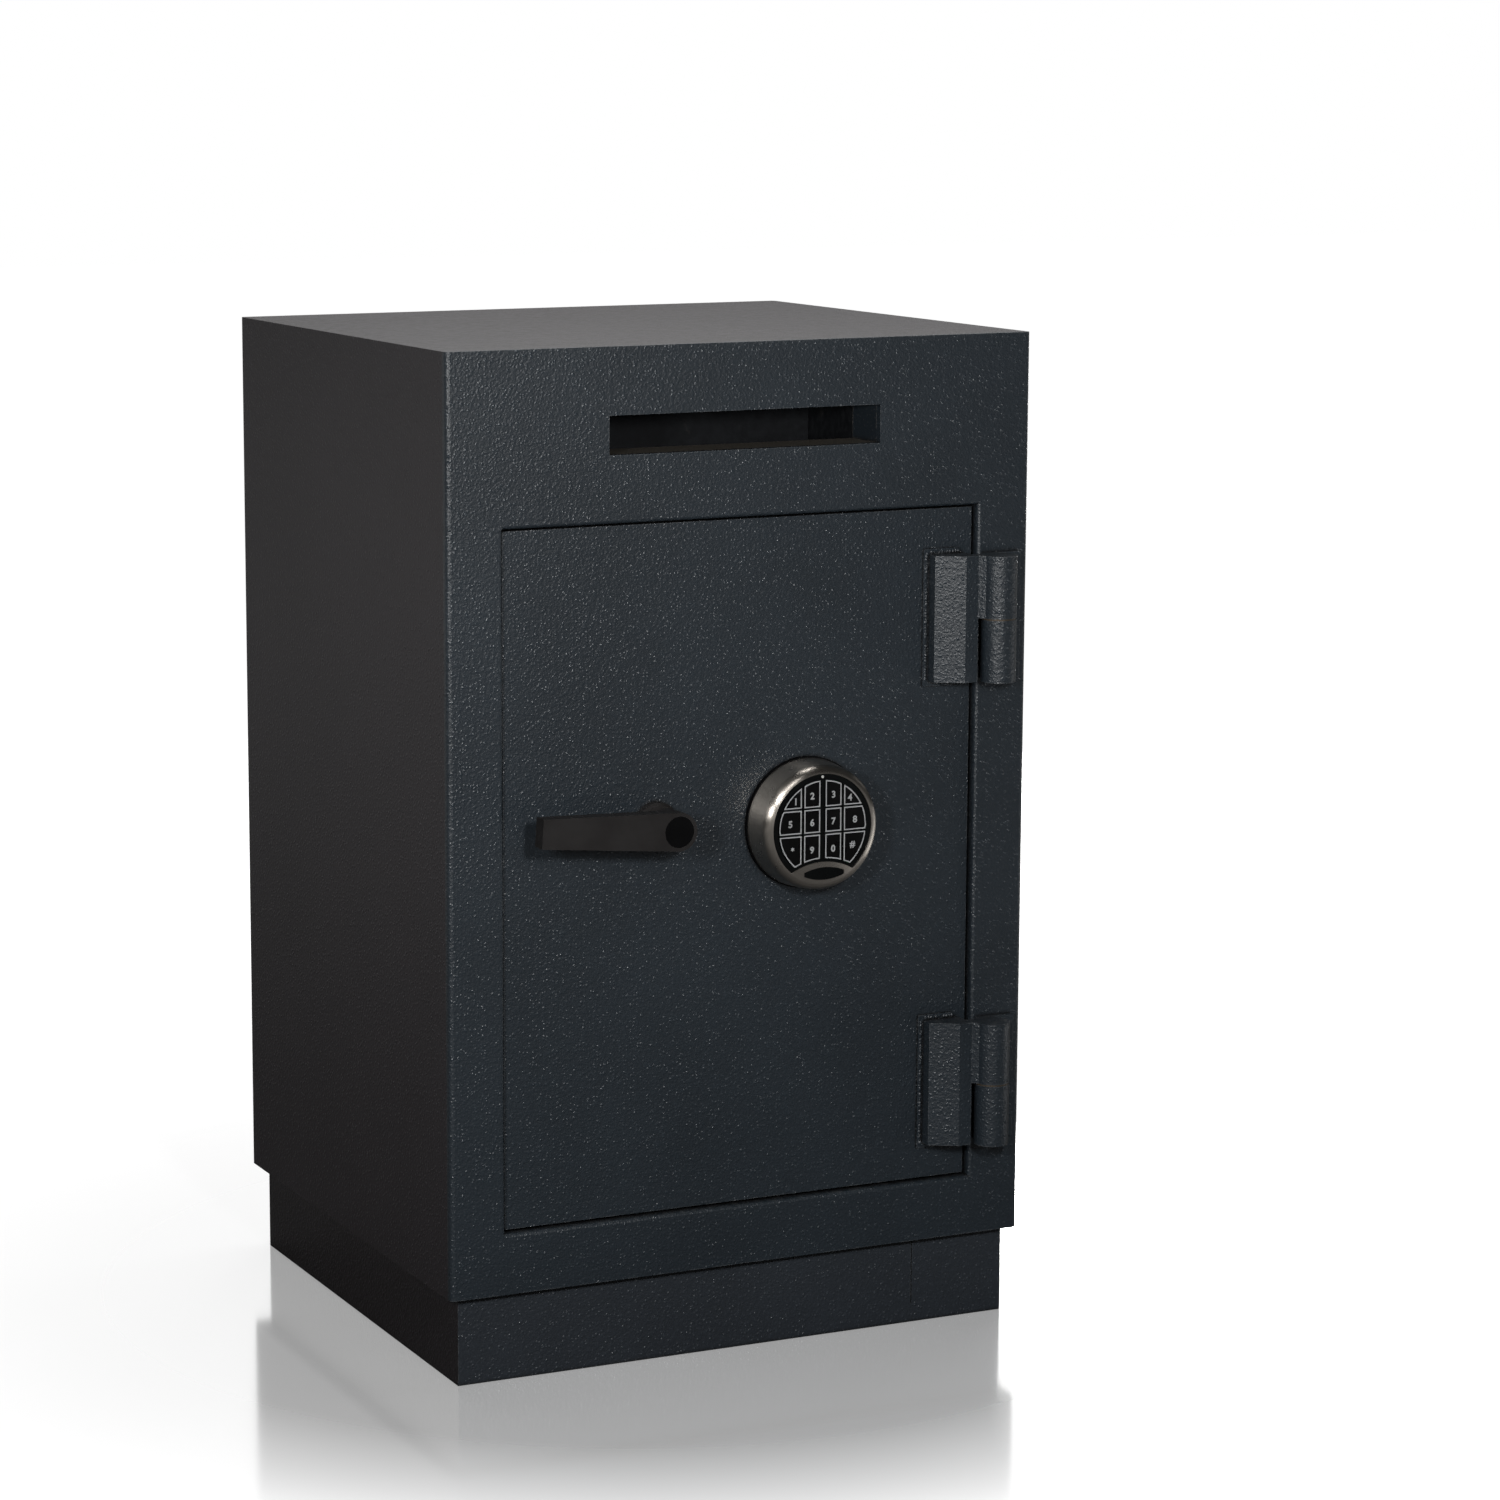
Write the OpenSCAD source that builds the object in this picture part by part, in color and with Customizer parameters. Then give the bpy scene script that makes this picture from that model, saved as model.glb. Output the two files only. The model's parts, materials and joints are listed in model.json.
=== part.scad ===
// Deposit safe: a double-walled cabinet on a plinth, a deposit slot with a baffled chute,
// and an inset door on outside hinges with a boltwork, a lever handle and a round keypad.
// The origin is on the floor under the middle of the cabinet. +Z is up and the front is at -Y.

/* [Cabinet] */
// Width of the cabinet
safe_w = 450; // [420:1:600]
// Depth of the cabinet, from the front plate to the back
safe_d = 400; // [360:1:520]
// Height over all, with the plinth
safe_h = 720; // [660:1:900]
// Thickness of the double side walls
side_wall = 41; // [38:1:55]
// Thickness of the double floor
floor_wall = 43; // [38:1:60]
// Thickness of the double roof
roof_wall = 36; // [30:1:40]
// Thickness of the double back wall
back_wall = 36; // [30:1:60]
// Thickness of the wall above the door, where the slot goes through
slot_wall = 41; // [34:1:46]
// Thickness of the outer sheet
skin_t = 3; // [2:0.5:4]
// Thickness of the inner sheet
liner_t = 2; // [1.5:0.5:3]
// Radius of the four upright edges
edge_r = 3.5; // [1:0.5:6]
// Thickness of the front plate
front_t = 6; // [5:0.5:8]
// Height of the front above the door opening
head_h = 121; // [112:1:135]
// Thickness of the jamb ring round the door opening
jamb_t = 5; // [4:0.5:7]
// Depth of the door opening, from the front face to the back of the jamb ring
jamb_d = 56; // [54:1:62]
// Radius of the rounded edge round the door opening
jamb_r = 2.5; // [1:0.5:4]

/* [Plinth] */
// Height of the plinth
plinth_h = 64; // [50:1:90]
// How far the plinth stands in from the cabinet
plinth_inset = 8.5; // [5:0.5:20]
// How far the plinth stands in at the back
plinth_back = 14; // [5:0.5:25]
// Thickness of the plinth's sheet
plinth_t = 4; // [3:0.5:5]
// Width of the floor flanges
flange_w = 36; // [30:1:50]
// Distance of the butt seam from the middle
seam_x = 142; // [100:1:170]
// Spacing of the floor anchor holes, front to back
anchor_dy = 240; // [160:1:300]
// Diameter of the floor and wall anchor holes
anchor_d = 13; // [9:0.5:16]
// Spacing of the wall anchor holes
wall_dx = 240; // [160:1:280]
// Height of the wall anchor holes
wall_z = 500; // [400:1:540]
// Diameter of the bolts that hold the cabinet on the plinth
base_bolt_d = 10; // [8:1:12]
// Spacing of those bolts, left to right
base_dx = 300; // [220:1:310]
// Spacing of those bolts, front to back
base_dy = 220; // [160:1:240]

/* [Deposit slot] */
// Width of the slot
slot_w = 209; // [180:1:250]
// Height of the slot
slot_h = 27; // [20:1:32]
// Depth of the slot's middle below the top of the cabinet
slot_drop = 60.5; // [56:0.5:64]
// Thickness of the throat and chute sheet
chute_t = 2; // [1.5:0.5:2.5]
// Length of the sloping floor of the chute, front to back
chute_run = 84; // [70:1:100]
// Drop of the chute floor over that length
chute_fall = 56; // [40:1:64]
// Distance between the teeth of the combs
tooth_pitch = 23; // [15:1:40]
// Height of a comb tooth
tooth_h = 12; // [8:1:14]

/* [Door] */
// Gap all round the door
door_gap = 2; // [1.5:0.25:3]
// How far the door's face lies behind the front face
door_recess = 6; // [3:0.5:7]
// Thickness of the door plate
door_t = 10; // [8:0.5:12]
// How far the pan behind the door plate stands in from its edges
pan_inset = 8; // [7:0.5:12]
// Thickness of the pan and of its cover
pan_t = 2; // [1.5:0.5:2.5]
// Width of the flange that carries the cover
cover_flange = 12; // [10:1:16]
// How far the fixed bar on the hinge side reaches behind the jamb
bar_reach = 6; // [4:0.5:8]

/* [Hinges] */
// Height of a hinge
hinge_h = 90.5; // [80:0.5:110]
// Distance of the upper hinge below the top of the opening
hinge_top = 34.5; // [20:0.5:60]
// Distance of the lower hinge above the bottom of the opening
hinge_bottom = 28.5; // [20:0.5:60]
// Outer diameter of a knuckle
knuckle_d = 25; // [22:0.5:26]
// Diameter of a hinge pin
pin_d = 12; // [10:0.5:14]
// Distance of the hinge axis from the side of the cabinet
axis_in = 33; // [32:0.5:36]
// Thickness of the leaf on the cabinet
leaf_t = 4.5; // [3:0.5:5]
// Thickness of the washer between the knuckles
washer_t = 1.2; // [0.8:0.1:2]

/* [Boltwork] */
// Diameter of a locking bolt
bolt_d = 18; // [16:1:20]
// Travel of the locking bolts
bolt_throw = 25; // [22:1:27]
// Distance between neighbouring locking bolts
bolt_pitch = 160; // [130:1:180]
// Thickness of the bolt carriage
carriage_t = 4; // [3:0.5:5]
// Diameter of the crank pin
crank_pin_d = 8; // [6:0.5:10]
// Drop of the lock's own bolt while the carriage travels
lock_throw = 10; // [8:0.5:11]

/* [Handle] */
// Distance of the handle's axis to the left of the middle
handle_x = 67; // [62:1:72]
// Height of the handle's axis above the floor
handle_z = 388; // [370:1:400]
// Distance from the handle's axis to the end of the lever
lever_l = 103; // [80:1:110]
// Height of the lever at its free end
lever_end = 20.5; // [16:0.5:24]
// Thickness of the lever's blade, front to back
blade_t = 12; // [9:0.5:16]
// Angle by which the lever stands above level
lever_rise = 3.6; // [0:0.2:6]
// Diameter of the lever's hub
hub_d = 27; // [25:0.5:30]
// Length of the lever's hub, front to back
hub_l = 24; // [20:0.5:28]
// Gap for the fingers behind the lever
finger_gap = 16; // [14:0.5:30]
// Diameter of the spindle
spindle_d = 12; // [10:0.5:13]
// Diameter of the plugged hole over the clamp screw
sink_d = 22; // [18:0.5:23]

/* [Keypad] */
// Distance of the keypad's axis to the right of the middle
keypad_x = 50; // [46:0.5:52]
// Height of the keypad's axis above the floor
keypad_z = 379.5; // [370:0.5:400]
// Diameter of the keypad at the door
keypad_d = 94; // [90:0.5:98]
// How far the keypad stands out from the door
keypad_h = 28; // [25:0.5:34]
// Diameter of the black fascia
fascia_d = 77.4; // [74:0.2:80]
// How far the keys stand out from the fascia
key_rise = 0.9; // [0.8:0.1:1.4]
// Travel of a key
key_travel = 0.8; // [0.5:0.1:0.8]
// Gap round a key
key_gap = 0.4; // [0.3:0.1:0.6]

/* [Hidden] */
$fn = 64;
// Overlap of a cutter past the face that it cuts
cut = 1;

// Clearances
run_gap = 0.05;      // radial, between a shaft and its bore
slide_gap = 0.4;     // between a sliding piece and its guide
hole_gap = 1;        // radial, between a screw and a hole that it passes through
seat_gap = 0.3;      // between a moving piece and what it rests on

// Levels and planes of the cabinet
front_y = -safe_d / 2;
back_y = safe_d / 2;
plate_y = front_y + front_t;
jamb_y = front_y + jamb_d;
open_x = safe_w / 2 - side_wall;
seam_gap = 0.05;
open_z0 = plinth_h + floor_wall;
open_z1 = safe_h - head_h;
room_y0 = front_y + slot_wall;
room_y1 = back_y - back_wall;
room_z1 = safe_h - roof_wall;
slot_z = safe_h - slot_drop;

// Door and pan
door_y0 = front_y + door_recess;
door_y1 = door_y0 + door_t;
door_x = open_x - door_gap;
door_z0 = open_z0 + door_gap;
door_z1 = open_z1 - door_gap;
pan_x = door_x - pan_inset;
pan_z0 = door_z0 + pan_inset;
pan_z1 = door_z1 - pan_inset;
cover_y1 = jamb_y;
cover_y0 = cover_y1 - pan_t;
pan_depth = cover_y0 - door_y1;
bar_t = 12;
bar_y = cover_y0 - 18;
bar_half_z = (pan_z1 - pan_z0) / 2 - 24;
stop_t = 6;

// Hinges
axis_x = safe_w / 2 - axis_in;
axis_y = front_y - leaf_t - knuckle_d / 2 - 0.6;
hinge_z = [open_z1 - hinge_top - hinge_h, open_z0 + hinge_bottom];
block_w = 29;
block_right = axis_x - 16;
block_left = block_right - block_w;
web_under = front_y - leaf_t - 1;

// Boltwork
bolt_y = cover_y0 - 15;
bolt_z = (door_z0 + door_z1) / 2;
bolt_tip_x = -pan_x + 1;
guide_t = 12;
guide_half = bolt_d / 2 + 1.5;
window_half = bolt_d / 2 + 1.5;
guide_short = 20;
bolt_tip = 1.5;
bolt_screw_d = 6;
bolt_screw_l = 14;
bolt_head_d = 10;
bolt_head_t = 4;
bolt_l = 49;
flange_x = bolt_tip_x + bolt_l;
carriage_y1 = bolt_y - 6;
carriage_y0 = carriage_y1 - carriage_t;
crank_r = bolt_throw / sqrt(2);
crank_slack = 0.03 * crank_r + 0.12;
cam_t = 6;
cam_y1 = carriage_y0 - 3;
cam_y0 = cam_y1 - cam_t;
stud_x = flange_x + 15;
stud_d = 10;
stud_z = bolt_pitch / 2 - 10;
strip_w = bolt_throw + 30;
arm_drop = 88;
arm_z0 = handle_z - arm_drop;
ramp_slope = lock_throw / bolt_throw;

// Lock
lock_w = 61;
lock_h = 85;
lock_t = 30;
hard_t = 4;
hard_margin = 4;
lock_y0 = door_y1 + hard_t;
lock_z0 = keypad_z - 35;
lock_bolt_w = 14;
lock_bolt_t = 10;
lock_bolt_x = keypad_x - lock_bolt_w / 2;
lock_tip_z = lock_z0 - 5;

// Handle, measured forwards from the door
rosette_t = 8;
rosette_d = 30;
lever_y1 = door_y0 - finger_gap;
lever_y0 = lever_y1 - hub_l;
sink_depth = 14;
screw_d = 8;
screw_l = 14;
screw_head_d = 13;
screw_head_t = 6;
hub_step = 0.75;
plug_in = 0.6;
plug_t = 2.4;
plug_gap = 0.15;
clamp_t = 4;
neck_d = 20;
bush_d = 18;

// Keypad
base_t = 3;
fascia_t = 3;
fascia_in = 0.8;
fascia_y = door_y0 - keypad_h + fascia_in;
keys_r = fascia_d / 2 - 4.4;
crescent_r = 47.6;
crescent_v = -24;
key_t = fascia_t + key_rise + 0.4;
board_t = 1.6;
keypad_screw_u = 34;
keypad_screw_d = 5;
cable_d = 11;
cable_v = -14;
battery = [48.5, 26.5, 17.5];
battery_v = 10;
battery_in = 1.8;

// Colours
paint_front = [0.13, 0.15, 0.16];
paint_side = [0.12, 0.12, 0.12];
steel = [0.62, 0.63, 0.64];
zinc = [0.72, 0.71, 0.66];
nickel = [0.55, 0.52, 0.48];
black = [0.05, 0.05, 0.05];
dark_steel = [0.35, 0.35, 0.36];
brass = [0.7, 0.55, 0.3];

// A box from its low corner to its high corner
module box(low, high) {
    translate(low) cube(high - low);
}

// A cylinder along +Y that starts at y
module rod_y(x, y, z, d, l) {
    translate([x, y, z]) rotate([-90, 0, 0]) cylinder(d = d, h = l);
}

// A cylinder along +X that starts at x
module rod_x(x, y, z, d, l) {
    translate([x, y, z]) rotate([0, 90, 0]) cylinder(d = d, h = l);
}

// A rectangle about the origin with round corners
module round_rect(w, h, r) {
    square([w - 2 * r, h], center = true);
    square([w, h - 2 * r], center = true);
    for (x = [-1, 1], y = [-1, 1])
        translate([x * (w / 2 - r), y * (h / 2 - r)]) circle(r);
}

// The outside of the cabinet, with its round upright edges
module cabinet_block() {
    translate([0, 0, plinth_h])
        linear_extrude(safe_h - plinth_h) round_rect(safe_w, safe_d, edge_r);
}

// A cutter that rounds a straight edge of length l along +X at the origin.
// The solid lies at +Y and +Z of the edge.
module edge_cutter(l, r) {
    rotate([90, 0, 90]) linear_extrude(l) difference() {
        translate([-cut, -cut]) square(r + cut);
        translate([r, r]) circle(r);
    }
}

// The four corners of a rectangle in the floor plane
module at_corners(dx, dy) {
    for (x = [-dx / 2, dx / 2], y = [-dy / 2, dy / 2])
        translate([x, y, 0]) children();
}

// The middle of the floor bolts lies under the middle of the inner room
base_y = (jamb_y + room_y1) / 2;

module base_bolt_places() {
    translate([0, base_y, 0]) at_corners(base_dx, base_dy) children();
}

module wall_anchor_holes(y, l, d) {
    for (x = [-wall_dx / 2, wall_dx / 2]) rod_y(x, y, wall_z, d, l);
}

// The heights of the three locking bolts
function bolt_level(i) = bolt_z + i * bolt_pitch;

module outer_casing() {
    color(paint_side) difference() {
        cabinet_block();
        box([-safe_w, front_y - cut, 0], [safe_w, plate_y, safe_h + cut]);
        box([-safe_w / 2 + skin_t, front_y, plinth_h + skin_t],
            [safe_w / 2 - skin_t, back_y - skin_t, safe_h - skin_t]);
        base_bolt_places() cylinder(d = base_bolt_d + 2 * hole_gap, h = plinth_h + 2 * skin_t);
        wall_anchor_holes(back_y - 2 * skin_t, 4 * skin_t, anchor_d);
    }
}

module front_plate() {
    color(paint_front) difference() {
        cabinet_block();
        box([-safe_w, plate_y, 0], [safe_w, back_y + cut, safe_h + cut]);
        box([-open_x, front_y - cut, open_z0], [open_x, back_y, open_z1]);
        box([-slot_w / 2, front_y - cut, slot_z - slot_h / 2],
            [slot_w / 2, back_y, slot_z + slot_h / 2]);
        opening_edges();
    }
}

// The four rounded front edges of the door opening
module opening_edges() {
    w = 2 * open_x;
    h = open_z1 - open_z0;
    translate([-open_x, front_y, open_z0]) mirror([0, 0, 1]) edge_cutter(w, jamb_r);
    translate([-open_x, front_y, open_z1]) edge_cutter(w, jamb_r);
    translate([open_x, front_y, open_z0]) rotate([0, -90, 0]) mirror([0, 0, 1])
        edge_cutter(h, jamb_r);
    translate([-open_x, front_y, open_z0]) rotate([0, -90, 0]) edge_cutter(h, jamb_r);
}

// Strips on edge. On the bolt side a front and a rear strip, with spacers between the windows
module door_jamb() {
    low = open_z0 - jamb_t;
    high = open_z1 + jamb_t;
    color(paint_front) {
        box([-open_x - jamb_t, plate_y, low], [-open_x, bolt_y - window_half - seam_gap, high]);
        box([-open_x - jamb_t, bolt_y + window_half + seam_gap, low], [-open_x, jamb_y, high]);
        for (i = [-2:1]) {
            from = i == -2 ? low : bolt_level(i) + window_half;
            to = i == 1 ? high : bolt_level(i + 1) - window_half;
            box([-open_x - jamb_t, bolt_y - window_half, from],
                [-open_x, bolt_y + window_half, to]);
        }
        difference() {
            box([open_x, plate_y, low], [open_x + jamb_t, jamb_y, high]);
            bar_pocket();
        }
        box([-open_x + seam_gap, plate_y, low], [open_x - seam_gap, jamb_y, open_z0]);
        box([-open_x + seam_gap, plate_y, open_z1], [open_x - seam_gap, jamb_y, high]);
    }
}

// The windows in the left jamb that the locking bolts enter
module bolt_pockets() {
    reach = bolt_tip_x - bolt_throw - 4;
    for (i = [-1:1])
        box([reach, bolt_y - window_half, bolt_level(i) - window_half],
            [-open_x + cut, bolt_y + window_half, bolt_level(i) + window_half]);
}

// The groove in the right jamb that takes the fixed bar
module bar_pocket() {
    box([open_x - cut, bar_y - 2, bolt_z - bar_half_z - 2],
        [open_x + bar_reach + 3, bar_y + bar_t + 2, bolt_z + bar_half_z + 2]);
}

module liner_block(grow) {
    box([-open_x - grow, jamb_y, open_z0 - grow],
        [open_x + grow, room_y1 + grow, room_z1 + grow]);
    box([-open_x - grow, room_y0 - grow, open_z1 + jamb_t],
        [open_x + grow, jamb_y + cut, room_z1 + grow]);
}

module throat_hole(grow) {
    box([-slot_w / 2 - grow, front_y, slot_z - slot_h / 2 - grow],
        [slot_w / 2 + grow, jamb_y, slot_z + slot_h / 2 + grow]);
}

module inner_liner() {
    color(paint_side) difference() {
        liner_block(liner_t);
        liner_block(0);
        box([-open_x, jamb_y - cut, open_z0], [open_x, jamb_y + cut, open_z1 + jamb_t]);
        throat_hole(chute_t);
        base_bolt_places() cylinder(d = base_bolt_d + 2 * hole_gap, h = open_z0 + cut);
        wall_anchor_holes(room_y1 - cut, back_wall, anchor_d);
    }
}

// The filling reaches from the outer sheet to the liner and the jamb ring
module barrier_fill() {
    color([0.5, 0.5, 0.48]) difference() {
        box([-safe_w / 2 + skin_t, plate_y, plinth_h + skin_t],
            [safe_w / 2 - skin_t, back_y - skin_t, safe_h - skin_t]);
        liner_block(liner_t);
        box([-open_x - jamb_t, front_y, open_z0 - jamb_t],
            [open_x + jamb_t, jamb_y, open_z1 + jamb_t]);
        throat_hole(chute_t);
        bolt_pockets();
        bar_pocket();
        base_bolt_places() cylinder(d = base_bolt_d + 2 * hole_gap + 2 * sleeve_t, h = open_z0);
        wall_anchor_holes(room_y1, back_wall, anchor_d + 2 * sleeve_t);
    }
}

sleeve_t = 2;

module sleeve(inner_d, l) {
    difference() {
        cylinder(d = inner_d + 2 * sleeve_t, h = l);
        translate([0, 0, -cut]) cylinder(d = inner_d, h = l + 2 * cut);
    }
}

module anchor_sleeves() {
    color(steel) {
        translate([0, 0, plinth_h + skin_t]) base_bolt_places()
            sleeve(base_bolt_d + 2 * hole_gap, floor_wall - skin_t - liner_t);
        for (x = [-wall_dx / 2, wall_dx / 2])
            translate([x, room_y1 + liner_t, wall_z]) rotate([-90, 0, 0])
                sleeve(anchor_d, back_wall - skin_t - liner_t);
    }
}

plinth_x = safe_w / 2 - plinth_inset;
plinth_y0 = plinth_inset - safe_d / 2;
plinth_y1 = safe_d / 2 - plinth_back;
anchor_dx = 2 * (plinth_x - plinth_t - flange_w / 2);

// A bent ring of sheet with a flange on the floor at each side. A seam shows in its front.
module plinth_ring() {
    color(paint_front) difference() {
        box([-plinth_x, plinth_y0, 0], [plinth_x, plinth_y1, plinth_h]);
        box([-plinth_x + plinth_t, plinth_y0 + plinth_t, plinth_t],
            [plinth_x - plinth_t, plinth_y1 - plinth_t, plinth_h + cut]);
        box([-plinth_x + plinth_t + flange_w, plinth_y0 + plinth_t, -cut],
            [plinth_x - plinth_t - flange_w, plinth_y1 - plinth_t, plinth_h]);
        at_corners(anchor_dx, anchor_dy)
            translate([0, 0, -cut]) cylinder(d = anchor_d, h = plinth_t + 2 * cut);
        box([seam_x - 0.4, plinth_y0 - cut, 14], [seam_x + 0.4, plinth_y0 + 0.6, plinth_h + cut]);
    }
}

rail_w = 60;
rail_t = 5;

module plinth_rails() {
    color(steel) for (s = [-1, 1]) difference() {
        box([s * base_dx / 2 - rail_w / 2, plinth_y0 + plinth_t, plinth_h - rail_t],
            [s * base_dx / 2 + rail_w / 2, plinth_y1 - plinth_t, plinth_h]);
        base_bolt_places() cylinder(d = base_bolt_d + 2 * hole_gap, h = plinth_h + cut);
    }
}

nut_h = 0.8 * base_bolt_d;
head_h_m = 0.65 * base_bolt_d;

// Hexagon bolts with their washers and nuts, from the safe's floor into the plinth rails
module plinth_bolts() {
    color(zinc) base_bolt_places() {
        translate([0, 0, open_z0]) difference() {
            cylinder(d = 2.2 * base_bolt_d, h = 2);
            translate([0, 0, -cut]) cylinder(d = base_bolt_d + 0.4, h = 4);
        }
        translate([0, 0, open_z0 + 2]) cylinder(d = 1.85 * base_bolt_d, h = head_h_m, $fn = 6);
        translate([0, 0, plinth_h - rail_t - nut_h - 4])
            cylinder(d = base_bolt_d, h = floor_wall + rail_t + nut_h + 6);
        translate([0, 0, plinth_h - rail_t - nut_h]) difference() {
            cylinder(d = 1.85 * base_bolt_d, h = nut_h, $fn = 6);
            translate([0, 0, -cut]) cylinder(d = base_bolt_d + 2 * run_gap, h = nut_h + 2 * cut);
        }
    }
}

module slot_throat() {
    color(black) difference() {
        box([-slot_w / 2 - chute_t, plate_y, slot_z - slot_h / 2 - chute_t],
            [slot_w / 2 + chute_t, room_y0, slot_z + slot_h / 2 + chute_t]);
        box([-slot_w / 2, plate_y - cut, slot_z - slot_h / 2],
            [slot_w / 2, room_y0 + cut, slot_z + slot_h / 2]);
    }
}

// The chute: a sloping floor between two cheeks that hang from the roof of the room
chute_lip_z = slot_z - slot_h / 2;
chute_x = slot_w / 2;
cheek_flange = 14;
chute_floor_t = chute_t + 1;
chute_screw_d = 5;

module chute_tray() {
    y1 = room_y0 + chute_run;
    z1 = chute_lip_z - chute_fall;
    color(paint_side) difference() {
        union() {
            rotate([90, 0, 90]) linear_extrude(2 * (chute_x + chute_t), center = true)
                polygon([[room_y0, chute_lip_z], [y1, z1], [y1, z1 - chute_floor_t],
                         [room_y0, chute_lip_z - chute_floor_t]]);
            for (s = [-1, 1]) {
                translate([s * (chute_x + chute_t / 2), 0, 0]) rotate([90, 0, 90])
                    linear_extrude(chute_t, center = true)
                    polygon([[room_y0, chute_lip_z - chute_floor_t], [room_y0, room_z1],
                             [y1, room_z1], [y1, z1 - chute_floor_t]]);
                translate([s * (chute_x + (chute_t + cheek_flange) / 2), (room_y0 + y1) / 2,
                           room_z1 - chute_t / 2])
                    cube([cheek_flange + chute_t, chute_run, chute_t], center = true);
            }
        }
        chute_screw_places() translate([0, 0, -10]) cylinder(d = chute_screw_d, h = 20);
    }
}

module chute_screw_places() {
    for (s = [-1, 1], y = [room_y0 + cheek_flange, room_y0 + chute_run - cheek_flange])
        translate([s * (chute_x + chute_t + cheek_flange / 2), y, room_z1]) children();
}

module chute_screws() {
    color(zinc) chute_screw_places() {
        translate([0, 0, -chute_t - 3]) cylinder(d = 9, h = 3);
        translate([0, 0, -chute_t]) cylinder(d = chute_screw_d - 0.2, h = chute_t);
    }
}

// One row of teeth along X. Each points to +Y from the line y = 0.
module teeth(w, t) {
    n = floor(w / tooth_pitch);
    step = w / n;
    linear_extrude(t) for (i = [0:n - 1])
        polygon([[-w / 2 + i * step, 0], [-w / 2 + (i + 0.5) * step, tooth_h],
                 [-w / 2 + (i + 1) * step, 0]]);
}

comb_apart = 17;
comb_y = room_y0 + chute_run - comb_apart;
comb_dip = 8;
comb_gap = 0.5;
comb_base = 10;
comb_w = slot_w - 2 * comb_gap;

// One comb hangs from the roof, down past the line of sight through the slot, with its teeth
// down. The other stands at the end of the chute floor with its teeth up.
module fishing_combs() {
    upper_z = chute_lip_z - comb_dip;
    lower_y = room_y0 + chute_run;
    lower_z = chute_lip_z - chute_fall - chute_floor_t;
    color(paint_side) {
        box([-comb_w / 2, comb_y, upper_z], [comb_w / 2, comb_y + chute_t, room_z1]);
        box([-comb_w / 2, comb_y, room_z1 - chute_t],
            [comb_w / 2, comb_y + cheek_flange, room_z1]);
        translate([0, comb_y + chute_t, upper_z]) rotate([90, 0, 0]) mirror([0, 1, 0])
            teeth(comb_w, chute_t);
        box([-chute_x, lower_y, lower_z], [chute_x, lower_y + chute_t, lower_z + comb_base]);
        translate([0, lower_y + chute_t, lower_z + comb_base]) rotate([90, 0, 0])
            teeth(2 * chute_x, chute_t);
    }
}

// Bars above and below the pan that stop the door plate
module door_stops() {
    stop_x = open_x - 34;
    color(paint_front) {
        box([-stop_x, door_y1 + seat_gap, open_z1 - stop_t],
            [stop_x, door_y1 + seat_gap + stop_t, open_z1]);
        box([-stop_x, door_y1 + seat_gap, open_z0],
            [stop_x, door_y1 + seat_gap + stop_t, open_z0 + stop_t]);
    }
}

knuckle_h = (hinge_h - washer_t) / 2;
pin_in = knuckle_h - 5;

// The leaf on the cabinet with the lower knuckle, which carries the pin
module hinge_frame_leaf(z) {
    right = safe_w / 2 - 8;
    left = max(open_x + jamb_r + 0.5, axis_x - 6);
    color(paint_front) translate([0, 0, z]) difference() {
        union() {
            box([left, front_y - leaf_t, 0], [right, front_y, hinge_h]);
            box([axis_x - 4, axis_y, 0], [axis_x + knuckle_d / 2, front_y, knuckle_h]);
            translate([axis_x, axis_y, 0]) cylinder(d = knuckle_d, h = knuckle_h);
        }
        translate([axis_x, axis_y, 5]) cylinder(d = pin_d + 2 * run_gap, h = hinge_h);
    }
}

// The block on the door: a steep left side, a slope, a flat, and a web to the upper knuckle
module hinge_door_leaf(z) {
    top_y = front_y - 16;
    color(paint_front) translate([0, 0, z]) {
        difference() {
            union() {
                linear_extrude(hinge_h)
                    polygon([[block_left, door_y0], [block_left, front_y - 5],
                             [block_right - 10, top_y], [block_right, top_y],
                             [block_right, door_y0]]);
                translate([0, 0, knuckle_h + washer_t]) {
                    linear_extrude(knuckle_h)
                        polygon([[block_right - 3, top_y], [block_right, top_y],
                                 [axis_x - 10, axis_y - 5], [axis_x, axis_y],
                                 [axis_x - 4, web_under], [block_right - 3, web_under]]);
                    translate([axis_x, axis_y, 0]) cylinder(d = knuckle_d, h = knuckle_h);
                }
            }
            translate([axis_x, axis_y, 0])
                cylinder(d = pin_d + 2 * run_gap, h = knuckle_h + washer_t + pin_in);
        }
        weld_bead();
    }
}

// The weld bead on the door round the three free sides of a hinge block
module weld_bead() {
    b = 4;
    difference() {
        box([block_left - b, door_y0 - 1.6, -b], [block_right - 6, door_y0, hinge_h + b]);
        box([block_left, door_y0 - 2, 0], [block_right, door_y0 + cut, hinge_h]);
    }
}

module hinge_pins() {
    color(steel) for (z = hinge_z)
        translate([axis_x, axis_y, z + 5]) cylinder(d = pin_d, h = knuckle_h - 5 + washer_t + pin_in - 1);
}

module hinge_washers() {
    color(dark_steel) for (z = hinge_z)
        translate([axis_x, axis_y, z + knuckle_h]) difference() {
            cylinder(d = knuckle_d - 1, h = washer_t);
            translate([0, 0, -cut]) cylinder(d = pin_d + 0.4, h = washer_t + 2 * cut);
        }
}

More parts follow.
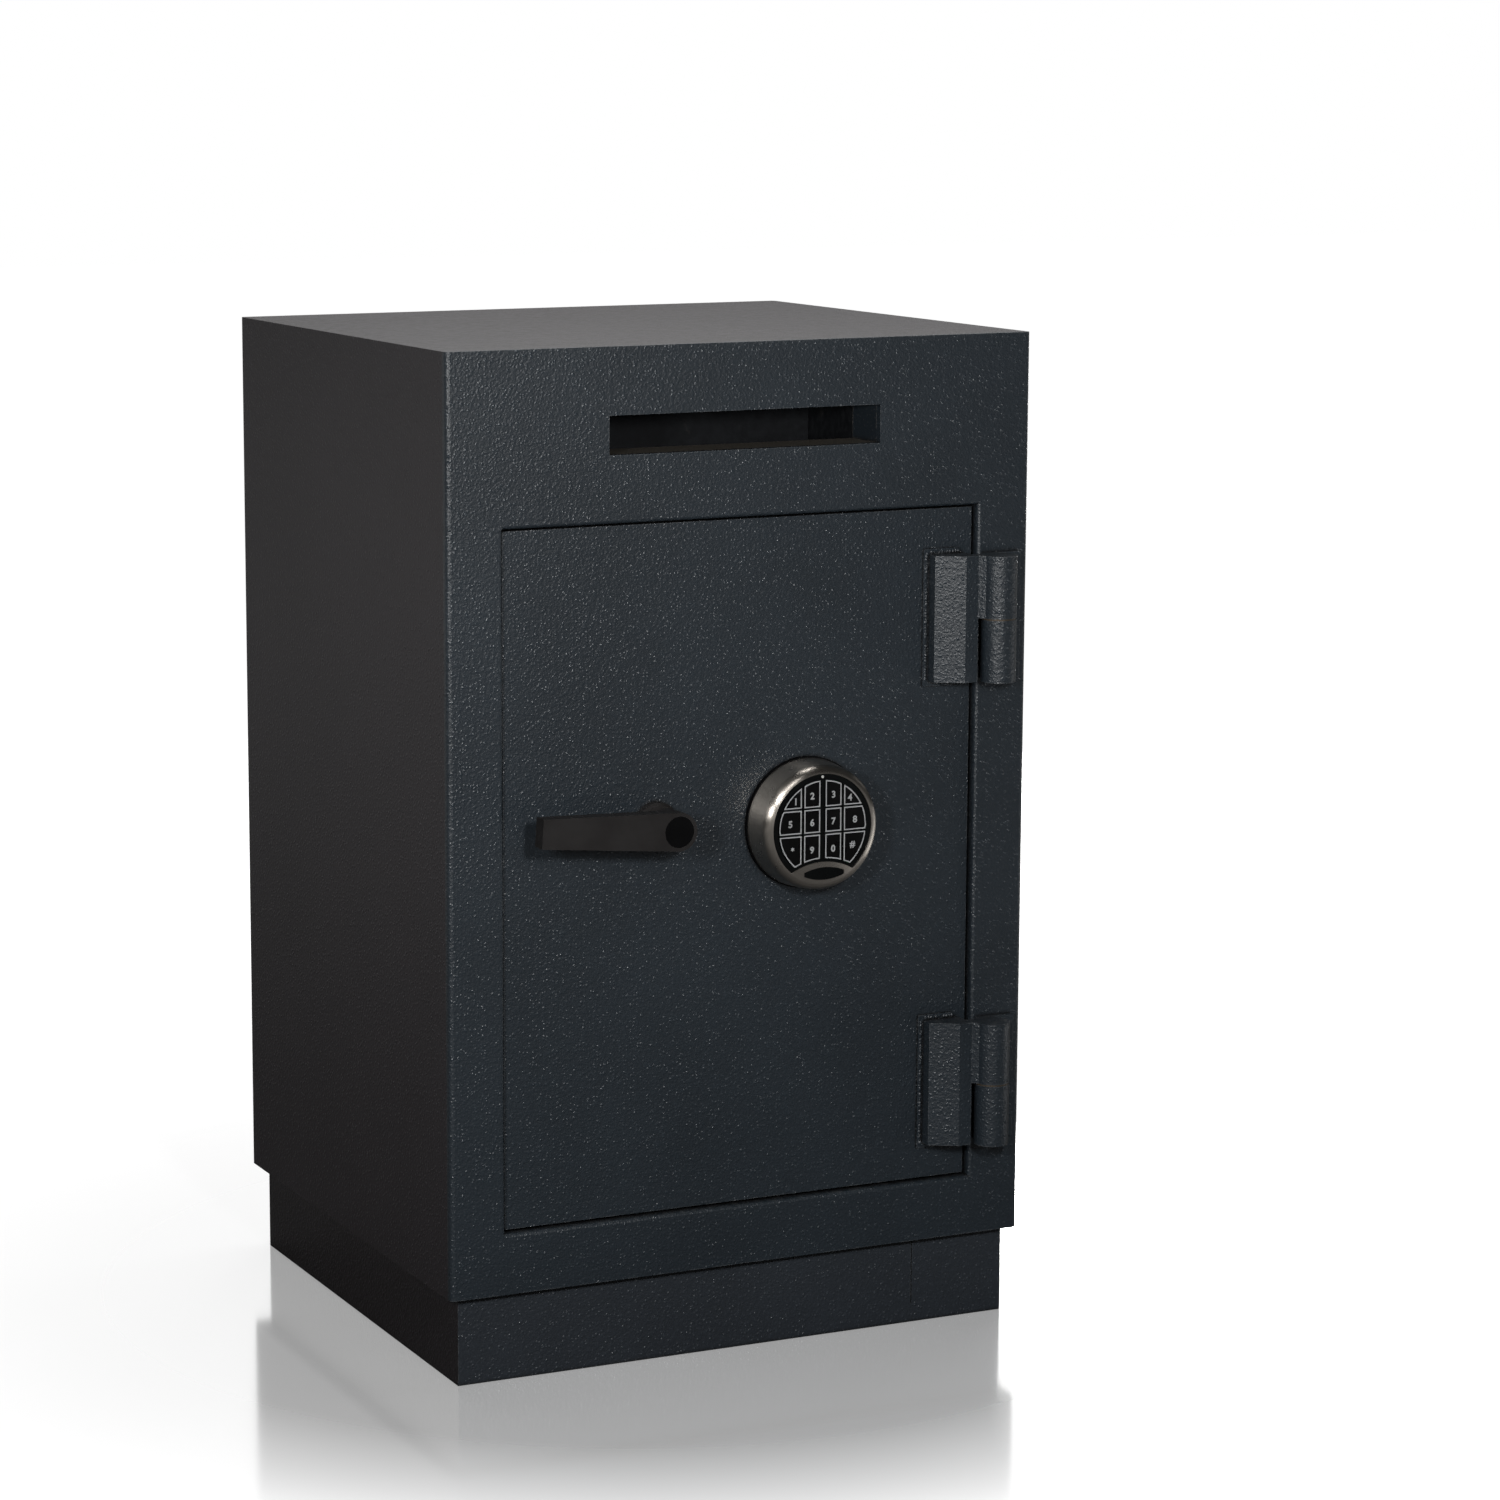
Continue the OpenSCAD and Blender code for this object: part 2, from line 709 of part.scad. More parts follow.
module door_plate() {
    color(paint_front) difference() {
        box([-door_x, door_y0, door_z0], [door_x, door_y1, door_z1]);
        rod_y(-handle_x, door_y0 - cut, handle_z, bush_d + 0.2, door_t + 2 * cut);
        rod_y(keypad_x, door_y0 - cut, keypad_z + cable_v, cable_d, door_t + 2 * cut);
        for (s = [-1, 1])
            rod_y(keypad_x + s * keypad_screw_u, door_y0 - cut, keypad_z, keypad_screw_d,
                  door_t + 2 * cut);
    }
}

module pan_shape(y0, y1, shrink) {
    box([-pan_x + shrink, y0, pan_z0 + shrink], [pan_x - shrink, y1, pan_z1 - shrink]);
}

module door_pan() {
    color(paint_side) difference() {
        pan_shape(door_y1, cover_y0, 0);
        pan_shape(door_y1 - cut, cover_y0 - pan_t, pan_t);
        pan_shape(door_y1 - cut, cover_y0 + cut, cover_flange);
        for (i = [-1:1])
            rod_x(-pan_x - cut, bolt_y, bolt_level(i), bolt_d + 2 * slide_gap, pan_t + 2 * cut);
        cover_screw_places() rotate([-90, 0, 0]) translate([0, 0, -8]) cylinder(d = 4.4, h = 16);
    }
}

module cover_screw_places() {
    in = cover_flange / 2;
    for (x = [-pan_x + in, pan_x - in], z = [pan_z0 + in, bolt_z, pan_z1 - in])
        translate([x, cover_y1, z]) children();
}

module boltwork_cover() {
    color(paint_side) difference() {
        pan_shape(cover_y0, cover_y1, 0);
        cover_screw_places() rotate([-90, 0, 0]) translate([0, 0, -8]) cylinder(d = 4.4, h = 16);
    }
}

// Screws of the boltwork cover, the lock case and the keypad's base
module door_screws() {
    color(zinc) {
        cover_screw_places() rotate([-90, 0, 0]) {
            cylinder(d = 8, h = 1.6);
            translate([0, 0, -pan_t - pan_t]) cylinder(d = 4.2, h = 2 * pan_t);
        }
        lock_screw_places() {
            rod_y(0, lock_y0 + lock_t, 0, 9, 1.8);
            rod_y(0, lock_y0 + lock_t - 6, 0, 6, 6);
        }
        for (s = [-1, 1]) translate([s * keypad_screw_u, 0, 0]) {
            on_keypad(base_t) cylinder(d = 8.5, h = 2.2);
            on_keypad(-door_t) cylinder(d = keypad_screw_d - 0.2, h = door_t + base_t);
        }
    }
}

module hinge_side_bar() {
    color(steel) box([pan_x, bar_y, bolt_z - bar_half_z],
                     [open_x + bar_reach, bar_y + bar_t, bolt_z + bar_half_z]);
}

// The bar inside the pan's left wall that guides the three bolts
module bolt_guide_bar() {
    color(steel) difference() {
        box([-pan_x + pan_t, bolt_y - guide_half, pan_z0 + guide_short],
            [-pan_x + pan_t + guide_t, bolt_y + guide_half, pan_z1 - guide_short]);
        for (i = [-1:1])
            rod_x(-pan_x, bolt_y, bolt_level(i), bolt_d + 2 * run_gap, 3 * guide_t);
    }
}

// Studs on the door plate that carry the carriage in its two long slots
module guide_studs() {
    color(steel) for (s = [-1, 1]) {
        z = bolt_z + s * stud_z;
        rod_y(stud_x, door_y1, z, stud_d + 8, carriage_y0 - slide_gap - door_y1);
        rod_y(stud_x, door_y1, z, stud_d, carriage_y1 + slide_gap - door_y1);
        rod_y(stud_x, carriage_y1 + slide_gap, z, stud_d + 8, 3);
    }
}

module hard_plate() {
    color(dark_steel) difference() {
        box([keypad_x - lock_w / 2 - hard_margin, door_y1, lock_z0 - hard_margin],
            [keypad_x + lock_w / 2 + hard_margin, lock_y0, lock_z0 + lock_h + hard_margin]);
        rod_y(keypad_x, door_y1 - cut, keypad_z + cable_v, cable_d, hard_t + 2 * cut);
    }
}

module lock_screw_places() {
    for (s = [-1, 1], z = [lock_z0 + 8, lock_z0 + lock_h - 8])
        translate([keypad_x + s * (lock_w / 2 - 8), 0, z]) children();
}

lock_bolt_y0 = carriage_y0 - 3;
lock_bore_l = 45;

module lock_case() {
    color(zinc) difference() {
        box([keypad_x - lock_w / 2, lock_y0, lock_z0],
            [keypad_x + lock_w / 2, lock_y0 + lock_t, lock_z0 + lock_h]);
        box([lock_bolt_x - run_gap, lock_bolt_y0 - run_gap, lock_z0 - cut],
            [lock_bolt_x + lock_bolt_w + run_gap, lock_bolt_y0 + lock_bolt_t + run_gap,
             lock_z0 + lock_bore_l]);
        lock_screw_places() rod_y(0, lock_y0 + lock_t - 6, 0, 6, 6 + cut);
    }
}

module handle_rosette() {
    color(black) translate([-handle_x, door_y0, handle_z]) rotate([90, 0, 0])
        rotate_extrude() polygon([
            [spindle_d / 2 + 0.3, 0], [rosette_d / 2, 0], [rosette_d / 2, rosette_t - 2],
            [rosette_d / 2 - 2, rosette_t], [spindle_d / 2 + 0.3, rosette_t]]);
}

module spindle_bush() {
    color(brass) difference() {
        union() {
            rod_y(-handle_x, door_y0, handle_z, bush_d, cam_y0 - door_y0);
            rod_y(-handle_x, door_y1, handle_z, bush_d + 10, cam_y0 - door_y1);
        }
        rod_y(-handle_x, door_y0 - cut, handle_z, spindle_d + 2 * run_gap, door_t * 3);
    }
}

// The lever in its own plane: u to the left of the axis, v up
module lever_outline() {
    r = hub_d / 2;
    slope = asin((r - lever_end / 2) / lever_l);
    circle(r);
    polygon([[r * sin(slope), r * cos(slope)], [lever_l, lever_end / 2],
             [lever_l, -lever_end / 2], [r * sin(slope), -r * cos(slope)]]);
}

module lever_handle() {
    color(black) translate([-handle_x, 0, handle_z]) difference() {
        union() {
            translate([0, lever_y0 + blade_t, 0]) rotate([90, 0, 0]) linear_extrude(blade_t)
                mirror([1, 0]) rotate(lever_rise) lever_outline();
            rod_y(0, lever_y0 + blade_t / 2, 0, hub_d - 2 * hub_step, hub_l - blade_t / 2);
            rod_y(0, lever_y1, 0, neck_d, door_y0 - rosette_t - lever_y1);
        }
        rod_y(0, lever_y0 + sink_depth + clamp_t, 0, spindle_d + 2 * run_gap,
              hub_l + finger_gap);
        rod_y(0, lever_y0 - cut, 0, screw_d + 0.6, sink_depth + clamp_t + 2 * cut);
        rod_y(0, lever_y0 - cut, 0, sink_d, sink_depth + cut);
    }
}

module handle_spindle() {
    y0 = lever_y0 + sink_depth + clamp_t;
    color(steel) difference() {
        rod_y(-handle_x, y0, handle_z, spindle_d, cam_y1 - y0);
        rod_y(-handle_x, y0 - cut, handle_z, screw_d, screw_l);
    }
}

// The clamp screw, and the plug that closes the hole over it
module handle_screw() {
    y0 = lever_y0 + sink_depth;
    color(black) translate([-handle_x, 0, handle_z]) {
        difference() {
            rod_y(0, y0 - screw_head_t, 0, screw_head_d, screw_head_t);
            translate([0, y0 - screw_head_t - cut, 0]) rotate([-90, 0, 0])
                cylinder(d = screw_head_d / 2, h = screw_head_t, $fn = 6);
        }
        rod_y(0, y0, 0, screw_d - 0.2, screw_l);
        rod_y(0, lever_y0 + plug_in, 0, sink_d - 2 * plug_gap, plug_t);
    }
}

// The crank cam: a round disc on the spindle with a pin that drives the carriage
module crank_cam() {
    color(steel) translate([-handle_x, 0, handle_z]) {
        difference() {
            rod_y(0, cam_y0, 0, 2 * crank_r + crank_pin_d + 8, cam_t);
            rod_y(0, cam_y0 - cut, 0, spindle_d + 2 * run_gap, cam_t + 2 * cut);
        }
        rod_y(crank_r * sin(45), cam_y1, crank_r * cos(45), crank_pin_d,
              carriage_y1 - cam_y1 + 3);
    }
}

// The carriage: an upright strip with a flange for the bolts, and an arm with the crank slot
// and the ramp that lifts the lock's bolt
module bolt_carriage() {
    strip_z = bolt_pitch + 22;
    slot_x = -handle_x + crank_r * sin(45);
    color(zinc) difference() {
        union() {
            box([flange_x, carriage_y0, bolt_z - strip_z],
                [flange_x + strip_w, carriage_y1, bolt_z + strip_z]);
            box([flange_x, carriage_y0, bolt_z - strip_z],
                [flange_x + carriage_t, bolt_y + bolt_d / 2 + 1, bolt_z + strip_z]);
            box([flange_x, carriage_y0, arm_z0],
                [slot_x + 18, carriage_y1, handle_z + crank_r + crank_pin_d + 10]);
            carriage_arm();
        }
        for (s = [-1, 1]) stud_slot(bolt_z + s * stud_z);
        for (i = [-1:1])
            rod_x(flange_x - cut, bolt_y, bolt_level(i), bolt_screw_d, carriage_t + 2 * cut);
        box([slot_x - crank_pin_d / 2 - crank_slack, carriage_y0 - cut,
             handle_z + crank_r * cos(45) - crank_pin_d / 2 - 1],
            [slot_x + crank_pin_d / 2 + crank_slack, carriage_y1 + cut,
             handle_z + crank_r + crank_pin_d / 2 + 1]);
    }
}

module stud_slot(z) {
    d = stud_d + 2 * slide_gap;
    rod_y(stud_x, carriage_y0 - cut, z, d, carriage_t + 2 * cut);
    rod_y(stud_x + bolt_throw, carriage_y0 - cut, z, d, carriage_t + 2 * cut);
    box([stud_x, carriage_y0 - cut, z - d / 2],
        [stud_x + bolt_throw, carriage_y1 + cut, z + d / 2]);
}

// The ramp falls to the right, so that the lock's bolt drops as the carriage moves left
module carriage_arm() {
    ramp_x0 = lock_bolt_x - 4;
    ramp_x1 = lock_bolt_x + lock_bolt_w + bolt_throw + 3;
    ramp_gap = seat_gap + 0.05;
    top = function(x) lock_tip_z - ramp_slope * (x - lock_bolt_x) - ramp_gap;
    translate([0, carriage_y1, 0]) rotate([90, 0, 0]) linear_extrude(carriage_t)
        polygon([[flange_x, arm_z0], [ramp_x1, arm_z0], [ramp_x1, top(ramp_x1)],
                 [ramp_x0, top(ramp_x0)], [flange_x, top(ramp_x0)]]);
}

module locking_bolt(i) {
    color(steel) difference() {
        union() {
            translate([bolt_tip_x, bolt_y, bolt_level(i)]) rotate([0, 90, 0])
                cylinder(d1 = bolt_d - 2 * bolt_tip, d2 = bolt_d, h = bolt_tip);
            rod_x(bolt_tip_x + bolt_tip, bolt_y, bolt_level(i), bolt_d, bolt_l - bolt_tip);
        }
        rod_x(flange_x - bolt_screw_l - 2, bolt_y, bolt_level(i), bolt_screw_d,
              bolt_screw_l + 2 + cut);
    }
}

module bolt_screws() {
    color(zinc) for (i = [-1:1]) {
        rod_x(flange_x + carriage_t, bolt_y, bolt_level(i), bolt_head_d, bolt_head_t);
        rod_x(flange_x - bolt_screw_l, bolt_y, bolt_level(i), bolt_screw_d - 0.2,
              bolt_screw_l + carriage_t);
    }
}

module lock_bolt() {
    color(steel) translate([0, lock_bolt_y0 + lock_bolt_t, 0]) rotate([90, 0, 0])
        linear_extrude(lock_bolt_t)
        polygon([[lock_bolt_x, lock_tip_z],
                 [lock_bolt_x + lock_bolt_w, lock_tip_z - ramp_slope * lock_bolt_w],
                 [lock_bolt_x + lock_bolt_w, lock_z0 + 43], [lock_bolt_x, lock_z0 + 43]]);
}

// Everything on the keypad is drawn about its own axis: u right, v up, and w forwards
// from the door's face
module on_keypad(w) {
    translate([keypad_x, door_y0 - w, keypad_z]) rotate([90, 0, 0]) children();
}

module keypad_base() {
    color(black) difference() {
        on_keypad(0) cylinder(d = keypad_d, h = base_t);
        on_keypad(-cut) translate([0, cable_v]) cylinder(d = cable_d, h = base_t + 2 * cut);
        on_keypad(-cut) for (s = [-1, 1])
            translate([s * keypad_screw_u, 0])
                cylinder(d = keypad_screw_d, h = base_t + 2 * cut);
        on_keypad(base_t - battery_in) translate([-battery[0] / 2, battery_v - battery[1] / 2])
            cube([battery[0], battery[1], base_t]);
    }
}

// The part of the fascia's circle that the housing covers below the keys
module crescent(d, r) {
    intersection() {
        circle(d = d);
        translate([0, crescent_v - crescent_r]) circle(r);
    }
}

// A turned dome with a rounded front rim, hollow behind
module keypad_housing() {
    rim = 6;
    r0 = keypad_d / 2 - 0.8;
    r1 = r0 - 1.6;
    inner = fascia_d / 2;
    h = keypad_h - base_t;
    color(nickel) {
        on_keypad(base_t) rotate_extrude() difference() {
            union() {
                polygon([[inner - 3, 0], [r0, 0], [r1, h - rim], [r1 - rim, h], [inner - 3, h]]);
                translate([r1 - rim, h - rim]) intersection() {
                    circle(rim);
                    square(rim + cut);
                }
            }
            translate([inner - 3 - cut, h - fascia_in - fascia_t - 0.02]) square([3 + cut, 9]);
            polygon([[inner - 4, -cut], [r0 - 3, -cut], [r1 - 3, h - fascia_t - 3],
                     [inner - 4, h - fascia_t - 3]]);
        }
        on_keypad(keypad_h - fascia_in - fascia_t) linear_extrude(fascia_t + fascia_in)
            difference() {
                crescent(fascia_d + 1, crescent_r);
                translate([1.5, badge_v]) oval(badge_w + 0.4, badge_h + 0.4);
            }
    }
}

badge_w = 31;
badge_h = 8.6;
badge_v = -32.4;

// An oval of two long arcs, with a short straight edge at each end
module oval(w, h) {
    rise = h / 3;
    r = (w * w / 4 + rise * rise) / (2 * rise);
    intersection() {
        translate([0, h / 2 - r]) circle(r);
        translate([0, r - h / 2]) circle(r);
        square([w, h + cut], center = true);
    }
}
module keypad_badge() {
    color(black) on_keypad(keypad_h - fascia_in - fascia_t)
        linear_extrude(fascia_t + fascia_in - 0.3)
        translate([1.5, badge_v]) oval(badge_w, badge_h);
}

// The cells of the twelve keys: [name, left, right, bottom, top]
col_x = [-40, -16.6, -14.7, -2, 2, 14.7, 16.6, 40];
row_y = [-40, -4.2, -2.9, 14, 15.2, 34.6];
KEYS = [
    ["key_1", 0, 2], ["key_2", 1, 2], ["key_3", 2, 2], ["key_4", 3, 2],
    ["key_5", 0, 1], ["key_6", 1, 1], ["key_7", 2, 1], ["key_8", 3, 1],
    ["key_star", 0, 0], ["key_9", 1, 0], ["key_0", 2, 0], ["key_hash", 3, 0]
];

// One key's outline, cut by the round edge of the fascia and by the crescent below it
module key_outline(col, row, grow) {
    difference() {
        intersection() {
            translate([col_x[2 * col] - grow, row_y[2 * row] - grow])
                square([col_x[2 * col + 1] - col_x[2 * col] + 2 * grow,
                        row_y[2 * row + 1] - row_y[2 * row] + 2 * grow]);
            circle(keys_r + grow);
        }
        translate([0, crescent_v - crescent_r]) circle(crescent_r + 2.4 - grow);
    }
}

module keypad_fascia() {
    color(black) on_keypad(keypad_h - fascia_in - fascia_t) linear_extrude(fascia_t)
        difference() {
            circle(d = fascia_d - 0.1);
            translate([0, crescent_v - crescent_r]) circle(crescent_r + 0.05);
            for (k = KEYS) key_outline(k[1], k[2], key_gap);
            translate([0, lamp_v]) circle(d = lamp_d + 0.2);
        }
}

lamp_v = keys_r + 2.2;
lamp_d = 2;

module keypad_lamp() {
    color([0.6, 0.6, 0.6]) on_keypad(keypad_h - fascia_in - fascia_t) translate([0, lamp_v, 0])
        cylinder(d = lamp_d, h = fascia_t + 0.2);
}

module key(k) {
    color(black) on_keypad(keypad_h - fascia_in + key_rise - key_t)
        linear_extrude(key_t) key_outline(k[1], k[2], 0);
}

// The round board with the switches lies against the ledge behind the fascia
module keypad_board() {
    color([0.10, 0.30, 0.16]) on_keypad(keypad_h - fascia_t - 3 - board_t)
        cylinder(d = fascia_d + 2, h = board_t);
}

// A nine volt block battery, sunk a little into the base
module keypad_battery() {
    color(steel) on_keypad(base_t - battery_in)
        translate([-battery[0] / 2, battery_v - battery[1] / 2]) cube(battery);
}

outer_casing();
front_plate();
door_jamb();
inner_liner();
barrier_fill();
anchor_sleeves();
plinth_ring();
plinth_rails();
plinth_bolts();
slot_throat();
chute_tray();
fishing_combs();
chute_screws();
door_stops();
hinge_frame_leaf(hinge_z[0]);  // hinge_frame_leaf_upper
hinge_frame_leaf(hinge_z[1]);  // hinge_frame_leaf_lower
hinge_pins();
hinge_washers();
door_plate();
door_pan();
boltwork_cover();
hinge_door_leaf(hinge_z[0]);  // hinge_door_leaf_upper
hinge_door_leaf(hinge_z[1]);  // hinge_door_leaf_lower
hinge_side_bar();
bolt_guide_bar();
guide_studs();
hard_plate();
lock_case();
door_screws();
handle_rosette();
spindle_bush();
keypad_base();
keypad_housing();
keypad_fascia();
keypad_badge();
keypad_board();
keypad_battery();
keypad_lamp();
lever_handle();
handle_spindle();
handle_screw();
crank_cam();
bolt_carriage();
locking_bolt(1);  // locking_bolt_top
locking_bolt(0);  // locking_bolt_middle
locking_bolt(-1);  // locking_bolt_bottom
bolt_screws();
lock_bolt();
for (k = KEYS)
    key(k);
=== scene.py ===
"""Deposit safe: finishes, printed keys, weld seams and the studio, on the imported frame.

Everything is in metres in the CAD's frame: the front looks to -Y, the floor is z = 0.
"""

import json
import math

import bmesh
import bpy
from mathutils import Matrix, Vector

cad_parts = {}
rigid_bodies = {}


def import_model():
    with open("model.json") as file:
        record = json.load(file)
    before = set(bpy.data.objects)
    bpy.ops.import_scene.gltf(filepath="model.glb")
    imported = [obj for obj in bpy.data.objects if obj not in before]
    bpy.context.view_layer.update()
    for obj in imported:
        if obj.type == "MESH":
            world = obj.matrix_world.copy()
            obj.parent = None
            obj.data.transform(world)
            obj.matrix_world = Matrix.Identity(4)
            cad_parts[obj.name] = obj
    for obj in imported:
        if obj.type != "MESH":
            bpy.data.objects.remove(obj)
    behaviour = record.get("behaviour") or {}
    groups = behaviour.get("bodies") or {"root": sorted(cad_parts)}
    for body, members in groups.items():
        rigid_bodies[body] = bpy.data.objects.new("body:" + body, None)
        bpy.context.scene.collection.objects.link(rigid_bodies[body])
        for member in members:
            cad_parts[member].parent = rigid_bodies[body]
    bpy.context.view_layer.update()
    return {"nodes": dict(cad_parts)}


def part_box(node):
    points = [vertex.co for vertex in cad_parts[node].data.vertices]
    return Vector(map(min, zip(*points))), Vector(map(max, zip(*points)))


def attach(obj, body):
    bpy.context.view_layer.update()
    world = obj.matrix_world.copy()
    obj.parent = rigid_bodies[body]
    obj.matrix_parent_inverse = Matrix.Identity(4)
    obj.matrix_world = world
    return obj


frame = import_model()
nodes = frame["nodes"]

MM = 0.001


# Camera

# Found from the straight edges and corners of the safe in the picture
CAMERA_AT = Vector((-1289.325, -2754.902, 924.092)) * MM
YAW, PITCH, ROLL = 0.417115, 0.162709, -0.0026468
LENS, SENSOR = 99.634, 36.0
SHIFT = (0.14044, -0.01811)


def place_camera():
    data = bpy.data.cameras.new("studio_camera")
    data.sensor_width = SENSOR
    data.lens = LENS
    data.shift_x, data.shift_y = SHIFT
    data.clip_start, data.clip_end = 0.1, 100
    ahead = Vector(
        (
            math.sin(YAW) * math.cos(PITCH),
            math.cos(YAW) * math.cos(PITCH),
            -math.sin(PITCH),
        )
    )
    right = Vector((math.cos(YAW), -math.sin(YAW), 0))
    up = right.cross(ahead)
    turned_right = math.cos(ROLL) * right + math.sin(ROLL) * up
    turned_up = -math.sin(ROLL) * right + math.cos(ROLL) * up
    axes = Matrix((turned_right, turned_up, -ahead)).transposed()
    camera = bpy.data.objects.new("studio_camera", data)
    camera.matrix_world = Matrix.Translation(CAMERA_AT) @ axes.to_4x4()
    bpy.context.scene.collection.objects.link(camera)
    bpy.context.scene.camera = camera


place_camera()


# Node helpers


class Tree:
    """Short hand for making and linking nodes in one tree."""

    def __init__(self, tree):
        self.tree = tree

    def put(self, target, value):
        """Links a socket to the target, or gives the target a plain value."""
        if isinstance(value, bpy.types.NodeSocket):
            self.tree.links.new(value, target)
        else:
            target.default_value = value

    def add(self, kind, inputs=None, **settings):
        node = self.tree.nodes.new(kind)
        for name, value in settings.items():
            setattr(node, name, value)
        for key, value in (inputs or {}).items():
            self.put(node.inputs[key], value)
        return node

    def math(self, operation, a, b=0.0, c=0.0, clamp=False):
        node = self.add("ShaderNodeMath", operation=operation, use_clamp=clamp)
        self.put(node.inputs[0], a)
        self.put(node.inputs[1], b)
        if operation == "MULTIPLY_ADD":
            self.put(node.inputs[2], c)
        return node.outputs[0]

    def remap(self, value, low, high, to_low=0.0, to_high=1.0, smooth=False):
        node = self.add("ShaderNodeMapRange", clamp=True)
        if smooth:
            node.interpolation_type = "SMOOTHSTEP"
        for key, item in zip(
            ("Value", "From Min", "From Max", "To Min", "To Max"),
            (value, low, high, to_low, to_high),
        ):
            self.put(node.inputs[key], item)
        return node.outputs[0]

    def mix(self, factor, a, b):
        """Mixes two colours: sockets 6, 7 and 2 are the node's colour ones."""
        node = self.add("ShaderNodeMix", data_type="RGBA")
        self.put(node.inputs["Factor"], factor)
        self.put(node.inputs[6], a)
        self.put(node.inputs[7], b)
        return node.outputs[2]

    def noise(self, vector, scale, detail=2.0, roughness=0.5):
        node = self.add(
            "ShaderNodeTexNoise",
            {
                "Vector": vector,
                "Scale": scale,
                "Detail": detail,
                "Roughness": roughness,
            },
        )
        return node.outputs["Fac"]

    def bump(self, height, strength, distance):
        node = self.add(
            "ShaderNodeBump",
            {"Height": height, "Strength": strength, "Distance": distance},
        )
        return node.outputs["Normal"]

    def use(self, group, **inputs):
        """Places a node group; an underscore stands for a space in an input's name."""
        node = self.add("ShaderNodeGroup", node_tree=group)
        for name, value in inputs.items():
            self.put(node.inputs[name.replace("_", " ")], value)
        return node.outputs


def shader_group(name, inputs, outputs):
    """A shader node group with float outputs. An input is a float with its default,
    or a vector where the default is None."""
    tree = bpy.data.node_groups.new(name, "ShaderNodeTree")
    for title, default in inputs.items():
        kind = "NodeSocketVector" if default is None else "NodeSocketFloat"
        socket = tree.interface.new_socket(title, in_out="INPUT", socket_type=kind)
        if default is not None:
            socket.default_value = default
    for title in outputs:
        tree.interface.new_socket(
            title, in_out="OUTPUT", socket_type="NodeSocketFloat"
        )
    t = Tree(tree)
    return t, t.add("NodeGroupInput").outputs, t.add("NodeGroupOutput").inputs


# How far the painted shade in narrow inner corners reaches
SHADE_REACH = 0.005


def coat_texture():
    """The pimpled skin of a structured powder coat, and light specks on the pimples'
    tops: paint flecks, and painted glints.
    """
    t, given, out = shader_group(
        "coat_texture",
        {"Vector": None, "Pimples per metre": 420.0},
        ("Height", "Speck_and_glint"),
    )
    vector, pitch = given["Vector"], given["Pimples per metre"]
    coarse = t.noise(vector, pitch, 2.0, 0.5)
    fine = t.noise(vector, t.math("MULTIPLY", pitch, 1.9), 1.0, 0.5)
    cells = t.add(
        "ShaderNodeTexVoronoi", {"Vector": vector, "Scale": pitch, "Randomness": 1.0}
    ).outputs
    chances = t.add("ShaderNodeSeparateColor", {"Color": cells["Color"]})
    chance = chances.outputs["Red"]
    dome = t.remap(cells["Distance"], 0.0, 0.5, 1.0, 0.0, smooth=True)
    pimple = t.math("MULTIPLY", dome, t.remap(chance, 0.0, 0.9))
    height = t.math("MULTIPLY_ADD", coarse, 0.4, t.math("MULTIPLY", pimple, 0.4))
    t.put(out["Height"], t.math("MULTIPLY_ADD", fine, 0.2, height))
    # Light specks on the pimples' tops: paint flecks, and painted glints
    core = t.remap(cells["Distance"], 0.12, 0.32, 1.0, 0.0)
    t.put(out["Speck_and_glint"], t.math("MULTIPLY", core, t.remap(chance, 0.2, 0.95)))
    return t.tree


def painted_crevice_shade():
    """1 in narrow inner corners and gaps, where shade falls, 0 in the open: the mask of a
    painted shade.
    """
    t, given, out = shader_group("painted_crevice_shade", {"Reach": SHADE_REACH}, ("Mask",))
    hidden = t.add(
        "ShaderNodeAmbientOcclusion", {"Distance": given["Reach"]}, samples=8
    )
    t.put(out["Mask"], t.remap(hidden.outputs["AO"], 0.82, 0.48))
    return t.tree


def edge_wear_and_highlight():
    """1 on the outer edges of a piece, broken up by a fine noise, 0 elsewhere: worn
    edges, and a painted highlight along them.
    """
    t, given, out = shader_group(
        "edge_wear_and_highlight", {"Vector": None, "Radius": 0.002, "Breaks": 0.5}, ("Mask",)
    )
    soft = t.add("ShaderNodeBevel", {"Radius": given["Radius"]}, samples=6)
    flat = t.add("ShaderNodeNewGeometry")
    dot = t.add("ShaderNodeVectorMath", operation="DOT_PRODUCT")
    t.put(dot.inputs[0], soft.outputs["Normal"])
    t.put(dot.inputs[1], flat.outputs["Normal"])
    edge = t.remap(dot.outputs["Value"], 0.985, 0.86)
    grit = t.noise(given["Vector"], 130.0, 3.0, 0.6)
    kept = t.remap(grit, given["Breaks"], t.math("ADD", given["Breaks"], 0.16))
    t.put(out["Mask"], t.math("MULTIPLY", edge, kept, clamp=True))
    return t.tree


def handling_marks():
    """Slow cloudy differences in tone, and a fine veil of dust on what faces up."""
    t, given, out = shader_group(
        "handling_marks", {"Vector": None, "Clouds per metre": 7.0}, ("Tone", "Dust")
    )
    cloud = t.noise(given["Vector"], given["Clouds per metre"], 4.0, 0.6)
    t.put(out["Tone"], t.remap(cloud, 0.3, 0.7, smooth=True))
    up = t.add("ShaderNodeSeparateXYZ")
    t.put(up.inputs[0], t.add("ShaderNodeNewGeometry").outputs["Normal"])
    facing = t.remap(up.outputs["Z"], 0.55, 1.0)
    grain = t.noise(given["Vector"], 170.0, 4.0, 0.65)
    t.put(out["Dust"], t.math("MULTIPLY", facing, t.remap(grain, 0.42, 0.7)))
    return t.tree


